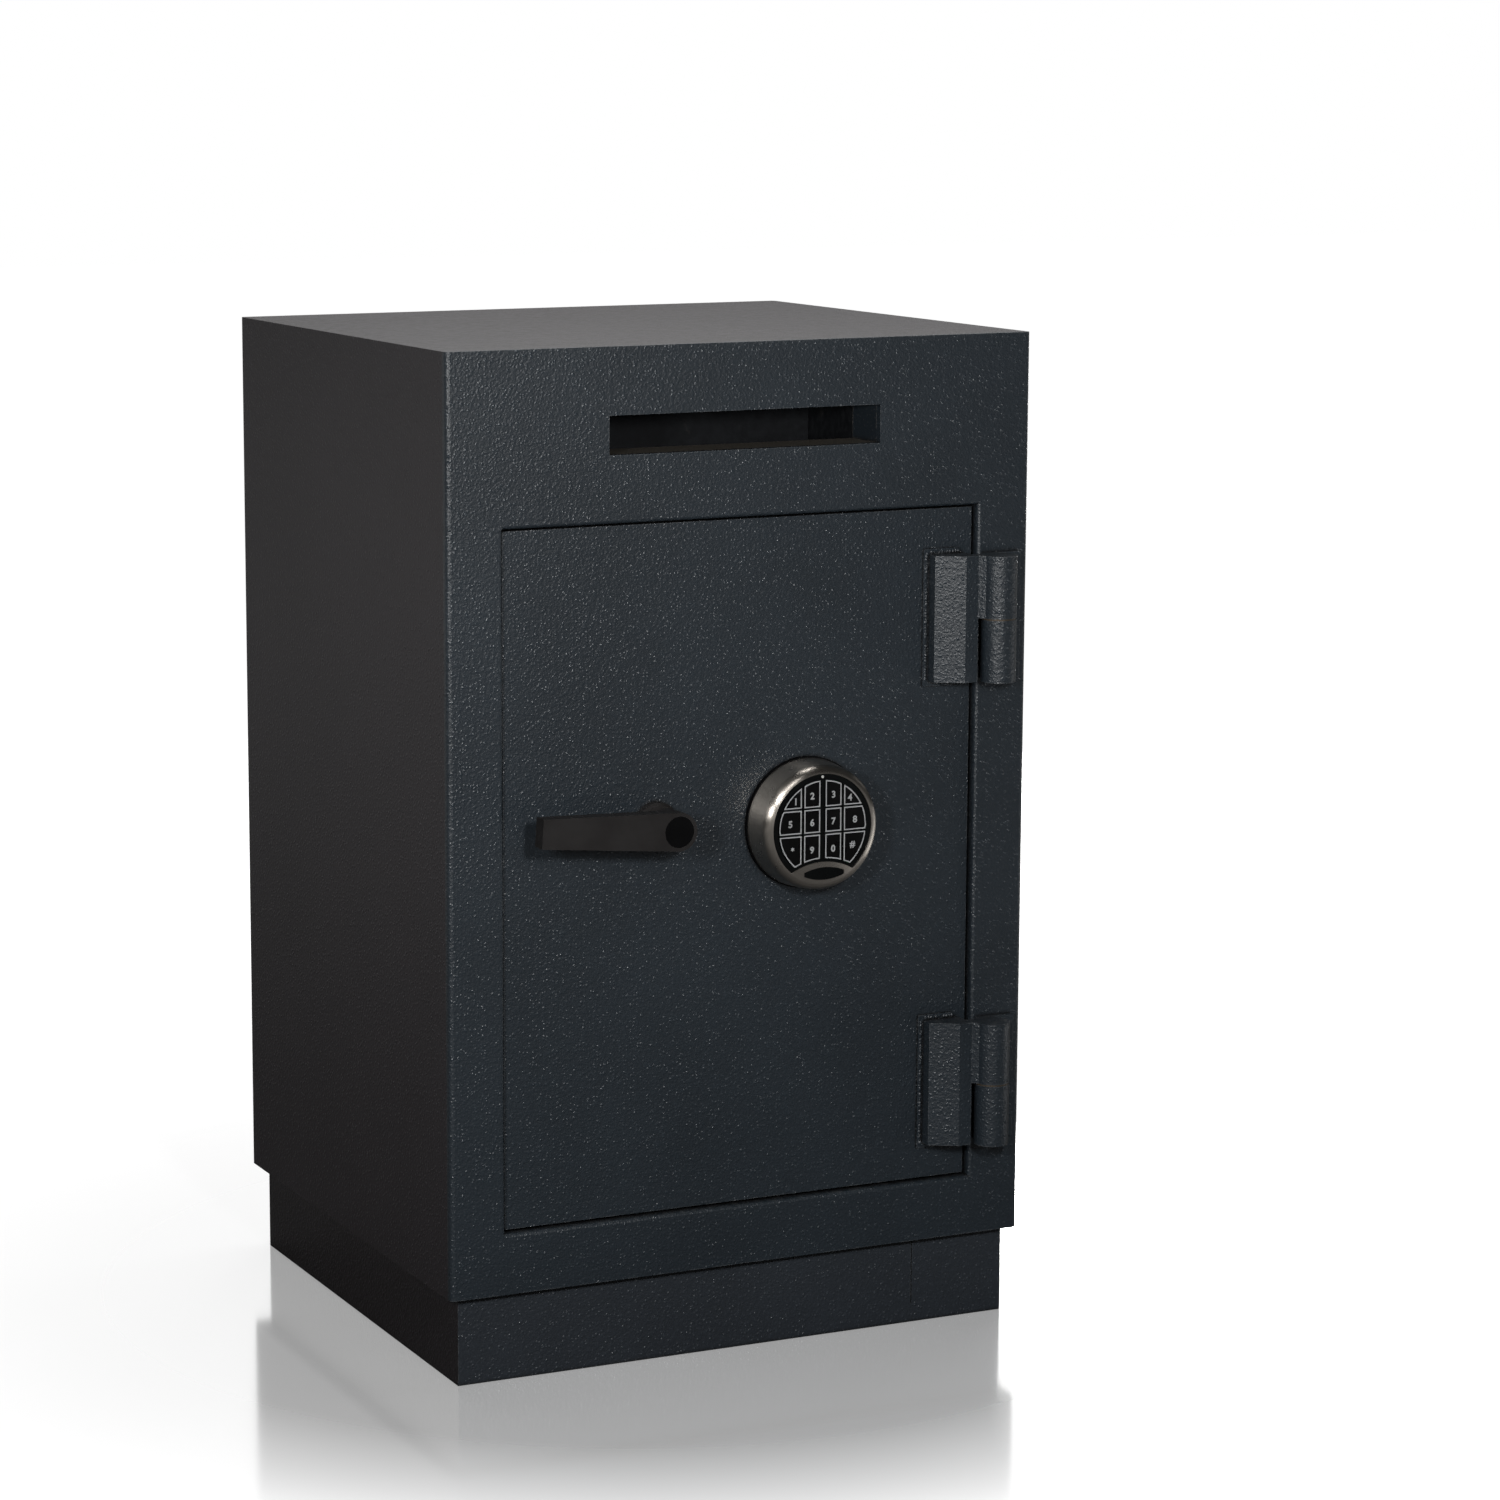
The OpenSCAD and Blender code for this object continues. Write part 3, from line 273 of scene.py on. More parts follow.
def brushed_grain():
    """Fine scratches that run along one direction of the vector that is given."""
    t, given, out = shader_group(
        "brushed_grain", {"Vector": None, "Lines per metre": 900.0}, ("Height", "Tone")
    )
    fine = t.noise(given["Vector"], given["Lines per metre"], 3.0, 0.6)
    broad = t.math("MULTIPLY", t.noise(given["Vector"], 80.0, 2.0, 0.5), 0.4)
    t.put(out["Height"], fine)
    t.put(out["Tone"], t.math("MULTIPLY_ADD", fine, 0.6, broad))
    return t.tree


COAT = coat_texture()
CREVICE_SHADE = painted_crevice_shade()
WEAR_AND_HIGHLIGHT = edge_wear_and_highlight()
MARKS = handling_marks()
GRAIN = brushed_grain()


def new_material(name):
    """An empty material with its shader, and the vector in the CAD's frame."""
    material = bpy.data.materials.new(name)
    material.use_nodes = True
    material.node_tree.nodes.clear()
    t = Tree(material.node_tree)
    shader = t.add("ShaderNodeBsdfPrincipled")
    surface = t.add("ShaderNodeOutputMaterial")
    t.put(surface.inputs["Surface"], shader.outputs["BSDF"])
    where = t.add("ShaderNodeTexCoord").outputs["Object"]
    return material, t, shader, where


def stretched(t, where, scale):
    """The vector with its axes scaled, so that a grain runs along the smallest one."""
    node = t.add("ShaderNodeMapping", {"Vector": where})
    node.inputs["Scale"].default_value = scale
    return node.outputs["Vector"]


def grey(value):
    return (value, value, value, 1.0)


# Finishes

# How strongly specks (paint flecks and painted glints), worn edges (wear and a painted
# highlight), dust and painted shade in inner corners cover the coat
SPECK_AND_GLINT_COVER, WEAR_AND_HIGHLIGHT_COVER, DUST_COVER, SHADE_COVER = 0.12, 0.55, 0.16, 0.85
DUST_TONE = (0.16, 0.155, 0.15, 1)
# Near-black of the painted shade in narrow inner corners and gaps
SHADE_TONE = (0.0035, 0.003, 0.003, 1)
# Shares of the grain and of the slow clouds in the coat's tone
GRAIN_SHARE, CLOUD_SHARE = 0.72, 0.28
# How far a face has to look sideways to take the flank's tones
SIDEWAYS = 0.6


def powder_coat(
    name, dark, light, worn, roughness, specular, pimples, depth, flank=None
):
    """Structured powder coat: two close tones, pimples, light specks that are partly
    painted glints, soft worn edges with a painted highlight, a little dust, and painted
    shade in narrow inner corners.

    flank gives two other tones for the faces that look to the left and right.
    """
    material, t, shader, where = new_material(name)
    coat = t.use(COAT, Vector=where, Pimples_per_metre=pimples)
    marks = t.use(MARKS, Vector=where)
    wear_and_highlight = t.use(WEAR_AND_HIGHLIGHT, Vector=where, Radius=0.0016, Breaks=0.42)
    grain = t.remap(coat["Height"], 0.3, 0.62)
    clouds = t.math("MULTIPLY", marks["Tone"], CLOUD_SHARE)
    blend = t.math("MULTIPLY_ADD", grain, GRAIN_SHARE, clouds)
    tone = t.mix(blend, dark, light)
    if flank:
        facing = t.add("ShaderNodeSeparateXYZ")
        t.put(facing.inputs[0], t.add("ShaderNodeNewGeometry").outputs["True Normal"])
        across = t.math("ABSOLUTE", facing.outputs["X"])
        sideways = t.math("GREATER_THAN", across, SIDEWAYS)
        tone = t.mix(sideways, tone, t.mix(blend, *flank))
    # The specks take the lighter worn tone: paint flecks, and painted glints
    speckled_and_glinting = t.mix(t.math("MULTIPLY", coat["Speck_and_glint"], SPECK_AND_GLINT_COVER), tone, worn)
    # Lighter worn edges: wear, and a painted highlight along the edges
    edged_and_highlit = t.mix(t.math("MULTIPLY", wear_and_highlight["Mask"], WEAR_AND_HIGHLIGHT_COVER), speckled_and_glinting, worn)
    dusty = t.mix(t.math("MULTIPLY", marks["Dust"], DUST_COVER), edged_and_highlit, DUST_TONE)
    # Painted shade: the coat darkens in narrow inner corners and gaps, where shade falls
    shade_mask = t.use(CREVICE_SHADE, Reach=SHADE_REACH)["Mask"]
    shaded_tone = t.mix(t.math("MULTIPLY", shade_mask, SHADE_COVER), dusty, SHADE_TONE)
    t.put(shader.inputs["Base Color"], shaded_tone)
    rough = t.remap(coat["Height"], 0.2, 0.8, roughness + 0.06, roughness - 0.05)
    t.put(
        shader.inputs["Roughness"],
        t.math("MULTIPLY_ADD", marks["Dust"], 0.15, rough),
    )
    shader.inputs["Specular IOR Level"].default_value = specular
    t.put(shader.inputs["Normal"], t.bump(coat["Height"], 1.0, depth))
    return material


def metal(name, tone, bright, roughness, lines, stretch, metallic=1.0, depth=0.00004):
    """Bare, plated or cast metal with grain one way and darker handling marks."""
    material, t, shader, where = new_material(name)
    grain = t.use(GRAIN, Vector=stretched(t, where, stretch), Lines_per_metre=lines)
    marks = t.use(MARKS, Vector=where, Clouds_per_metre=22.0)
    wear_and_highlight = t.use(WEAR_AND_HIGHLIGHT, Vector=where, Radius=0.0008, Breaks=0.3)
    base = t.mix(t.remap(grain["Tone"], 0.3, 0.7), tone, bright)
    clouded = t.mix(t.math("MULTIPLY", marks["Tone"], 0.22), base, tone)
    # Lighter worn edges: wear, and a painted highlight along the edges
    lit = t.mix(t.math("MULTIPLY", wear_and_highlight["Mask"], 0.4), clouded, bright)
    t.put(shader.inputs["Base Color"], lit)
    shader.inputs["Metallic"].default_value = metallic
    t.put(
        shader.inputs["Roughness"],
        t.remap(marks["Tone"], 0.0, 1.0, roughness - 0.05, roughness + 0.07),
    )
    t.put(shader.inputs["Normal"], t.bump(grain["Height"], 0.4, depth))
    return material


NICKEL_DARK, NICKEL_LIGHT = (0.46, 0.42, 0.37, 1), (0.6, 0.555, 0.5, 1)


def turned_nickel():
    """Nickel turned round the keypad's axis: light fans out across its fine grooves."""
    material, t, shader, where = new_material("satin_nickel")
    low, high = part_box("keypad_housing")
    from_axis = t.add("ShaderNodeVectorMath", {0: where}, operation="SUBTRACT")
    from_axis.inputs[1].default_value = (low + high) / 2
    parts = t.add("ShaderNodeSeparateXYZ", {0: from_axis.outputs[0]}).outputs
    z_squared = t.math("MULTIPLY", parts["Z"], parts["Z"])
    radius = t.math("SQRT", t.math("MULTIPLY_ADD", parts["X"], parts["X"], z_squared))
    across = t.add("ShaderNodeCombineXYZ", {0: radius, 1: parts["Y"]})
    groove = t.noise(across.outputs[0], 2600.0, 2.0, 0.6)
    marks = t.use(MARKS, Vector=where, Clouds_per_metre=40.0)
    base = t.mix(t.remap(groove, 0.3, 0.7), NICKEL_DARK, NICKEL_LIGHT)
    t.put(shader.inputs["Base Color"], base)
    shader.inputs["Metallic"].default_value = 1.0
    shader.inputs["Anisotropic"].default_value = 0.88
    shader.inputs["Anisotropic Rotation"].default_value = 0.25
    t.put(shader.inputs["Roughness"], t.remap(marks["Tone"], 0.0, 1.0, 0.26, 0.31))
    minus_x = t.math("MULTIPLY", parts["X"], -1.0)
    round_it = t.add("ShaderNodeCombineXYZ", {0: parts["Z"], 2: minus_x})
    turned = t.add(
        "ShaderNodeVectorTransform",
        {0: round_it.outputs[0]},
        vector_type="VECTOR",
        convert_from="OBJECT",
        convert_to="WORLD",
    )
    t.put(shader.inputs["Tangent"], turned.outputs[0])
    t.put(shader.inputs["Normal"], t.bump(groove, 0.3, 0.00001))
    return material


# How much lighter the rubbed edges of a moulding are: wear, and a painted highlight along
# them
RUBBED_AND_HIGHLIT_LIGHTER = 2.2


def moulded(name, tone, light, roughness, grain_scale, depth, specular):
    """Moulded plastic or thin lacquer with a fine even grain."""
    material, t, shader, where = new_material(name)
    fine = t.noise(where, grain_scale, 2.0, 0.5)
    marks = t.use(MARKS, Vector=where, Clouds_per_metre=30.0)
    wear_and_highlight = t.use(WEAR_AND_HIGHLIGHT, Vector=where, Radius=0.0007, Breaks=0.45)
    base = t.mix(marks["Tone"], tone, light)
    rubbed = [min(1, part * RUBBED_AND_HIGHLIT_LIGHTER) for part in light]
    # Lighter rubbed edges: wear, and a painted highlight along the edges
    worn = t.mix(t.math("MULTIPLY", wear_and_highlight["Mask"], 0.5), base, rubbed)
    t.put(shader.inputs["Base Color"], worn)
    t.put(
        shader.inputs["Roughness"],
        t.remap(marks["Tone"], 0.0, 1.0, roughness - 0.04, roughness + 0.05),
    )
    shader.inputs["Specular IOR Level"].default_value = specular
    t.put(shader.inputs["Normal"], t.bump(fine, 0.5, depth))
    return material


def shade_black_lining():
    """Thin black paint of the inside, rubbed grey in places and dusty; its near-black is
    painted shade for the inside of the slot.
    """
    material, t, shader, where = new_material("shade_black_lining")
    rubbed = t.noise(where, 34.0, 5.0, 0.62)
    dust = t.noise(where, 190.0, 4.0, 0.6)
    paint, dusted = (0.0042, 0.0046, 0.0056, 1), (0.009, 0.01, 0.0115, 1)
    dark = t.mix(t.remap(dust, 0.4, 0.75), paint, dusted)
    worn = t.mix(t.remap(rubbed, 0.62, 0.75), dark, (0.028, 0.026, 0.024, 1))
    t.put(shader.inputs["Base Color"], worn)
    t.put(shader.inputs["Roughness"], t.remap(dust, 0.3, 0.7, 0.55, 0.75))
    shader.inputs["Specular IOR Level"].default_value = 0.15
    t.put(shader.inputs["Normal"], t.bump(dust, 0.5, 0.0002))
    return material


def mineral_fill():
    """Light cement-like filling with grains and pores."""
    material, t, shader, where = new_material("mineral_fill")
    grains = t.noise(where, 240.0, 4.0, 0.6)
    pores = t.add("ShaderNodeTexVoronoi", {"Vector": where, "Scale": 150.0})
    wet, dry = (0.4, 0.39, 0.36, 1), (0.56, 0.55, 0.52, 1)
    base = t.mix(t.remap(grains, 0.35, 0.65), wet, dry)
    t.put(shader.inputs["Base Color"], base)
    shader.inputs["Roughness"].default_value = 0.95
    height = t.math("MULTIPLY", t.remap(pores.outputs["Distance"], 0.1, 0.4), grains)
    t.put(shader.inputs["Normal"], t.bump(height, 0.8, 0.0006))
    return material


def circuit_green():
    """Solder-masked board with a faint pattern of tracks."""
    material, t, shader, where = new_material("circuit_green")
    cells = t.add(
        "ShaderNodeTexVoronoi", {"Vector": where, "Scale": 260.0}, distance="MANHATTAN"
    )
    track = t.remap(cells.outputs["Distance"], 0.28, 0.34)
    t.put(
        shader.inputs["Base Color"],
        t.mix(track, (0.03, 0.15, 0.06, 1), (0.07, 0.24, 0.1, 1)),
    )
    shader.inputs["Roughness"].default_value = 0.35
    t.put(shader.inputs["Normal"], t.bump(track, 0.3, 0.00005))
    return material


def printed(name, tone, light, roughness, metallic):
    """Thin printed or hot-stamped ink with slight loss of cover."""
    material, t, shader, where = new_material(name)
    cover = t.noise(where, 1500.0, 2.0, 0.6)
    t.put(shader.inputs["Base Color"], t.mix(t.remap(cover, 0.3, 0.7), tone, light))
    t.put(
        shader.inputs["Roughness"],
        t.remap(cover, 0.3, 0.7, roughness + 0.08, roughness - 0.05),
    )
    shader.inputs["Metallic"].default_value = metallic
    t.put(shader.inputs["Normal"], t.bump(cover, 0.3, 0.00002))
    return material


# Dark, light and worn tone of each coat; the worn tone also colours the painted glints of
# the specks and the painted highlight on edges
CASING_TONES = (
    (0.0184, 0.015, 0.017, 1),
    (0.03, 0.0248, 0.0277, 1),
    (0.07, 0.064, 0.064, 1),
)
FRONT_TONES = (
    (0.012, 0.0168, 0.0218, 1),
    (0.0242, 0.0334, 0.0428, 1),
    (0.09, 0.095, 0.1, 1),
)
PLINTH_TONES = (
    (0.0178, 0.0216, 0.0268, 1),
    (0.0345, 0.0418, 0.0518, 1),
    (0.09, 0.095, 0.1, 1),
)
# Roughness, specular level, pimples per metre and their depth
CASING_SKIN = (0.42, 0.5, 400.0, 0.0007)
FRONT_SKIN = (0.36, 0.53, 390.0, 0.001)

FINISHES = {
    "casing_paint": powder_coat("casing_coat", *CASING_TONES, *CASING_SKIN),
    "front_paint": powder_coat("front_coat", *FRONT_TONES, *FRONT_SKIN),
    "bare_steel": metal(
        "milled_steel",
        (0.42, 0.42, 0.43, 1),
        (0.6, 0.6, 0.61, 1),
        0.3,
        500.0,
        (1, 1, 12),
    ),
    "zinc_plate": metal(
        "zinc_plating",
        (0.5, 0.49, 0.45, 1),
        (0.72, 0.71, 0.66, 1),
        0.34,
        320.0,
        (3, 3, 3),
    ),
    "hard_steel": metal(
        "hardened_steel",
        (0.2, 0.2, 0.21, 1),
        (0.33, 0.33, 0.34, 1),
        0.46,
        260.0,
        (2, 2, 2),
        depth=0.0001,
    ),
    "brass_metal": metal(
        "turned_brass",
        (0.58, 0.42, 0.19, 1),
        (0.76, 0.58, 0.3, 1),
        0.28,
        900.0,
        (1, 1, 6),
    ),
    "barrier_mix": mineral_fill(),
    "lever_black": moulded(
        "lever_lacquer",
        (0.014, 0.0126, 0.0124, 1),
        (0.0192, 0.0177, 0.0174, 1),
        0.45,
        1300.0,
        0.00006,
        0.2,
    ),
    "base_black": moulded(
        "base_moulding",
        (0.0016, 0.0016, 0.0018, 1),
        (0.003, 0.003, 0.0033, 1),
        0.7,
        1500.0,
        0.00008,
        0.05,
    ),
    "satin_nickel": turned_nickel(),
    "fascia_black": moulded(
        "fascia_foil",
        (0.0015, 0.0018, 0.0018, 1),
        (0.003, 0.0035, 0.0035, 1),
        0.3,
        2400.0,
        0.00003,
        0.14,
    ),
    "key_black": moulded(
        "key_moulding",
        (0.0018, 0.0018, 0.0018, 1),
        (0.0035, 0.0035, 0.0035, 1),
        0.3,
        2400.0,
        0.00004,
        0.14,
    ),
    "lamp_lens": printed(
        "lamp_lens", (0.42, 0.42, 0.4, 1), (0.6, 0.6, 0.57, 1), 0.2, 0.0
    ),
    "board_green": circuit_green(),
    "battery_can": metal(
        "battery_can",
        (0.12, 0.12, 0.13, 1),
        (0.2, 0.2, 0.21, 1),
        0.35,
        600.0,
        (1, 6, 1),
        metallic=0.6,
    ),
}
KEY_PRINT = printed(
    "key_print", (0.36, 0.37, 0.375, 1), (0.5, 0.51, 0.515, 1), 0.4, 0.25
)

for node in nodes.values():
    for slot in node.material_slots:
        slot.material = FINISHES[slot.material.name]
shade_lining = shade_black_lining()
OWN_FINISHES = {
    "plinth_ring": powder_coat(
        "plinth_coat",
        *PLINTH_TONES,
        *FRONT_SKIN,
        # Darker, browner tones on the plinth's sides than on its front: painted shade on
        # the sides
        flank=((0.0148, 0.0118, 0.013, 1), (0.0235, 0.0195, 0.0215, 1)),
    ),
    # Pale tone on the throat's floor and top, a painted pool of the light that falls on
    # the slot's floor; its side walls take the front's blue
    "slot_throat": powder_coat(
        "throat_coat",
        (0.1, 0.088, 0.072, 1),
        (0.15, 0.133, 0.11, 1),
        (0.2, 0.18, 0.16, 1),
        0.5,
        0.3,
        430.0,
        0.0002,
        flank=((0.0105, 0.015, 0.0195, 1), (0.0138, 0.0195, 0.0255, 1)),
    ),
    # Liner, chute and combs take the near-black lining: painted shade inside the slot
    "inner_liner": shade_lining,
    "chute_tray": shade_lining,
    "fishing_combs": shade_lining,
    "hinge_washers": metal(
        "oiled_washer",
        (0.05, 0.04, 0.03, 1),
        (0.11, 0.085, 0.06, 1),
        0.5,
        600.0,
        (1, 1, 4),
        metallic=0.6,
    ),
}
for name, finish in OWN_FINISHES.items():
    nodes[name].material_slots[0].material = finish


# Mesh helpers


def new_object(name, mesh, material, body):
    """A finished piece: its place is in its mesh, and it rides on a body of the CAD."""
    piece = bpy.data.objects.new(name, mesh)
    bpy.context.scene.collection.objects.link(piece)
    if material is not None:
        mesh.materials.clear()
        mesh.materials.append(material)
    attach(piece, body)


def plain_mesh(obj):
    """The evaluated object as a mesh of its own; the object it came from goes."""
    bpy.context.view_layer.update()
    graph = bpy.context.evaluated_depsgraph_get()
    mesh = bpy.data.meshes.new_from_object(obj.evaluated_get(graph))
    bpy.data.objects.remove(obj)
    return mesh


# Keypad print

housing_low, housing_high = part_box("keypad_housing")
DOOR_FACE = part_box("keypad_base")[1].y
KEYPAD = Vector(
    (
        (housing_low.x + housing_high.x) / 2,
        DOOR_FACE,
        (housing_low.z + housing_high.z) / 2,
    )
)
KEY_FACE = DOOR_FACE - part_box("key_6")[0].y
RING, PRINT_THICK, PRINT_EDGE = 0.85 * MM, 0.00004, 0.12 * MM
FIGURE, STAR = 6.6 * MM, 1.7 * MM
# Share of a figure's height by which its strokes are made bolder
BOLDER = 0.032
KEYS_R = 34.3 * MM
CRESCENT_R, CRESCENT_V, CRESCENT_GAP = 47.6 * MM, -24.0 * MM, 2.4 * MM
LOOP_STEPS = 28
# Left and right of the columns and low and high of the rows, in mm from the middle
COLUMNS = ((-40, -16.6), (-14.7, -2), (2, 14.7), (16.6, 40))
ROWS = ((-40, -4.2), (-2.9, 14), (15.2, 34.6))
# How far a figure stands towards the middle and up its key, as shares of the key
FIGURE_PLACE = (0.0, 0.42)
CORNER_PLACES = {2: (0.16, 0.33), 0: (0.1, 0.6)}
# The figure, column and row of each key
KEYS = {
    "key_1": ("1", 0, 2),
    "key_2": ("2", 1, 2),
    "key_3": ("3", 2, 2),
    "key_4": ("4", 3, 2),
    "key_5": ("5", 0, 1),
    "key_6": ("6", 1, 1),
    "key_7": ("7", 2, 1),
    "key_8": ("8", 3, 1),
    "key_star": ("*", 0, 0),
    "key_9": ("9", 1, 0),
    "key_0": ("0", 2, 0),
    "key_hash": ("#", 3, 0),
}


def key_loop(column, row, inset):
    """A key's outline, taken in by inset: a box cut by the round and the crescent."""
    left, right = (c * MM for c in COLUMNS[column])
    low, high = (r * MM for r in ROWS[row])
    left, right, low, high = left + inset, right - inset, low + inset, high - inset
    radius = KEYS_R - inset
    arc = CRESCENT_R + CRESCENT_GAP + inset
    arc_v = CRESCENT_V - CRESCENT_R
    left, right = max(left, -radius + 1e-6), min(right, radius - 1e-6)
    top, bottom = [], []
    for i in range(LOOP_STEPS + 1):
        u = left + (right - left) * i / LOOP_STEPS
        reach = math.sqrt(max(0.0, radius * radius - u * u))
        hill = arc_v + math.sqrt(max(0.0, arc * arc - u * u)) if abs(u) < arc else low
        v_top, v_low = min(high, reach), max(low, -reach, hill)
        if v_top - v_low > 1e-5:
            top.append((u, v_top))
            bottom.append((u, v_low))
    return bottom + top[::-1]


def flat_curve(name, loops):
    """A flat filled shape between closed outlines, as thick as the print."""
    data = bpy.data.curves.new(name, "CURVE")
    data.dimensions = "2D"
    data.fill_mode = "BOTH"
    data.extrude = PRINT_THICK
    for loop in loops:
        spline = data.splines.new("POLY")
        spline.points.add(len(loop) - 1)
        for point, (u, v) in zip(spline.points, loop):
            point.co = (u, v, 0, 1)
        spline.use_cyclic_u = True
    return bpy.data.objects.new(name, data)


def on_keypad(mesh, u, v, w):
    """Stands a flat mesh up on the keypad, w metres out from the door."""
    place = Matrix.Translation(KEYPAD + Vector((u, -w, v)))
    mesh.transform(place @ Matrix.Rotation(math.pi / 2, 4, "X"))


def glyph(text, size):
    """A figure in Blender's own plain letters, centred on the origin."""
    data = bpy.data.curves.new("glyph", "FONT")
    data.body = text
    data.size = size
    data.align_x = "CENTER"
    data.align_y = "CENTER"
    data.offset = size * BOLDER
    data.extrude = PRINT_THICK
    return bpy.data.objects.new("glyph", data)


def star(radius):
    """A small six-armed star in one outline."""
    loop = []
    for i in range(12):
        reach = radius if i % 2 == 0 else radius * 0.5
        turn = i * math.pi / 6
        loop.append((reach * math.sin(turn), reach * math.cos(turn)))
    return flat_curve("star", (loop,))


def join_meshes(name, meshes):
    """One mesh of several, with their doubled corners merged."""
    bm = bmesh.new()
    for mesh in meshes:
        bm.from_mesh(mesh)
    bmesh.ops.remove_doubles(bm, verts=bm.verts, dist=1e-7)
    joined = bpy.data.meshes.new(name)
    bm.to_mesh(joined)
    bm.free()
    return joined


def key_prints():
    """The light outline and the figure of each key, riding on the key."""
    scene = bpy.context.scene.collection.objects
    for key, (text, column, row) in KEYS.items():
        outer = key_loop(column, row, PRINT_EDGE)
        inner = key_loop(column, row, PRINT_EDGE + RING)
        ring = flat_curve("ring", (outer, inner))
        scene.link(ring)
        ring_mesh = plain_mesh(ring)
        on_keypad(ring_mesh, 0, 0, KEY_FACE)
        us = [u for u, v in inner]
        vs = [v for u, v in inner]
        inward, rise = FIGURE_PLACE
        if column in (0, 3):
            inward, rise = CORNER_PLACES.get(row, FIGURE_PLACE)
        aside = inward if column == 0 else -inward
        u = (min(us) + max(us)) / 2 + aside * (max(us) - min(us))
        v = min(vs) + (max(vs) - min(vs)) * rise
        figure = star(STAR) if text == "*" else glyph(text, FIGURE)
        scene.link(figure)
        figure_mesh = plain_mesh(figure)
        on_keypad(figure_mesh, u, v, KEY_FACE)
        mesh = join_meshes(key + "_print", (ring_mesh, figure_mesh))
        new_object(key + "_print", mesh, KEY_PRINT, key)


key_prints()


# Weld seams

# From the leaf's box to the edge of its block, and how far the seam runs to the right
BLOCK_EDGE, WELD_REACH = 4 * MM, 24 * MM
# How far the seam's middle stands outside the block, and how it rounds the corners
WELD_OUT, WELD_CORNER, CORNER_STEPS = 1.6 * MM, 3 * MM, 4


def geometry_tree(name, inputs):
    """A Geometry Nodes tree whose named inputs each have a socket kind and default."""
    tree = bpy.data.node_groups.new(name, "GeometryNodeTree")
    tree.interface.new_socket(
        "Geometry", in_out="INPUT", socket_type="NodeSocketGeometry"
    )
    for title, (kind, default) in inputs.items():
        socket = tree.interface.new_socket(title, in_out="INPUT", socket_type=kind)
        if default is not None:
            socket.default_value = default
    tree.interface.new_socket(
        "Geometry", in_out="OUTPUT", socket_type="NodeSocketGeometry"
    )
    t = Tree(tree)
    return t, t.add("NodeGroupInput").outputs, t.add("NodeGroupOutput").inputs


def weld_tree():
    """Overlapping flattened drops along the edges of the mesh, as in a hand weld."""
    t, given, out = geometry_tree(
        "weld_seam",
        {
            "Pitch": ("NodeSocketFloat", 0.0022),
            "Width": ("NodeSocketFloat", 0.005),
            "Height": ("NodeSocketFloat", 0.0022),
            "Seed": ("NodeSocketInt", 5),
            "Finish": ("NodeSocketMaterial", None),
        },
    )
    path = t.add("GeometryNodeMeshToCurve", {"Mesh": given["Geometry"]})
    points = t.add(
        "GeometryNodeResampleCurve",
        {"Curve": path.outputs["Curve"], "Length": given["Pitch"]},
        mode="LENGTH",
    )
    drop = t.add(
        "GeometryNodeMeshUVSphere", {"Segments": 12, "Rings": 8, "Radius": 0.5}
    )
    size = t.add(
        "ShaderNodeCombineXYZ",
        {
            0: t.math("MULTIPLY", given["Width"], 0.8),
            1: given["Height"],
            2: given["Width"],
        },
    )
    shake = t.add(
        "FunctionNodeRandomValue",
        {"Seed": given["Seed"]},
        data_type="FLOAT_VECTOR",
    )
    shake.inputs[0].default_value = (0.8, 0.75, 0.8)
    shake.inputs[1].default_value = (1.2, 1.2, 1.15)
    scaled = t.add("ShaderNodeVectorMath", operation="MULTIPLY")
    t.put(scaled.inputs[0], size.outputs[0])
    t.put(scaled.inputs[1], shake.outputs[0])
    drops = t.add(
        "GeometryNodeInstanceOnPoints",
        {
            "Points": points.outputs["Curve"],
            "Instance": drop.outputs["Mesh"],
            "Scale": scaled.outputs[0],
        },
    )
    real = t.add(
        "GeometryNodeRealizeInstances", {"Geometry": drops.outputs["Instances"]}
    )
    smooth = t.add("GeometryNodeSetShadeSmooth", {"Geometry": real.outputs["Geometry"]})
    done = t.add(
        "GeometryNodeSetMaterial",
        {"Geometry": smooth.outputs["Geometry"], "Material": given["Finish"]},
    )
    t.put(out["Geometry"], done.outputs["Geometry"])
    return t.tree


def set_inputs(modifier, values):
    """Sets a modifier's named inputs by the identifiers of their sockets."""
    for item in modifier.node_group.interface.items_tree:
        given = item.item_type == "SOCKET" and item.in_out == "INPUT"
        if given and item.name in values:
            modifier[item.identifier] = values[item.name]


def path_object(name, points):
    """Straight edges through the points, in the scene, for a tree to follow."""
    mesh = bpy.data.meshes.new(name)
    mesh.from_pydata(points, [(i, i + 1) for i in range(len(points) - 1)], [])
    obj = bpy.data.objects.new(name, mesh)
    bpy.context.scene.collection.objects.link(obj)
    return obj


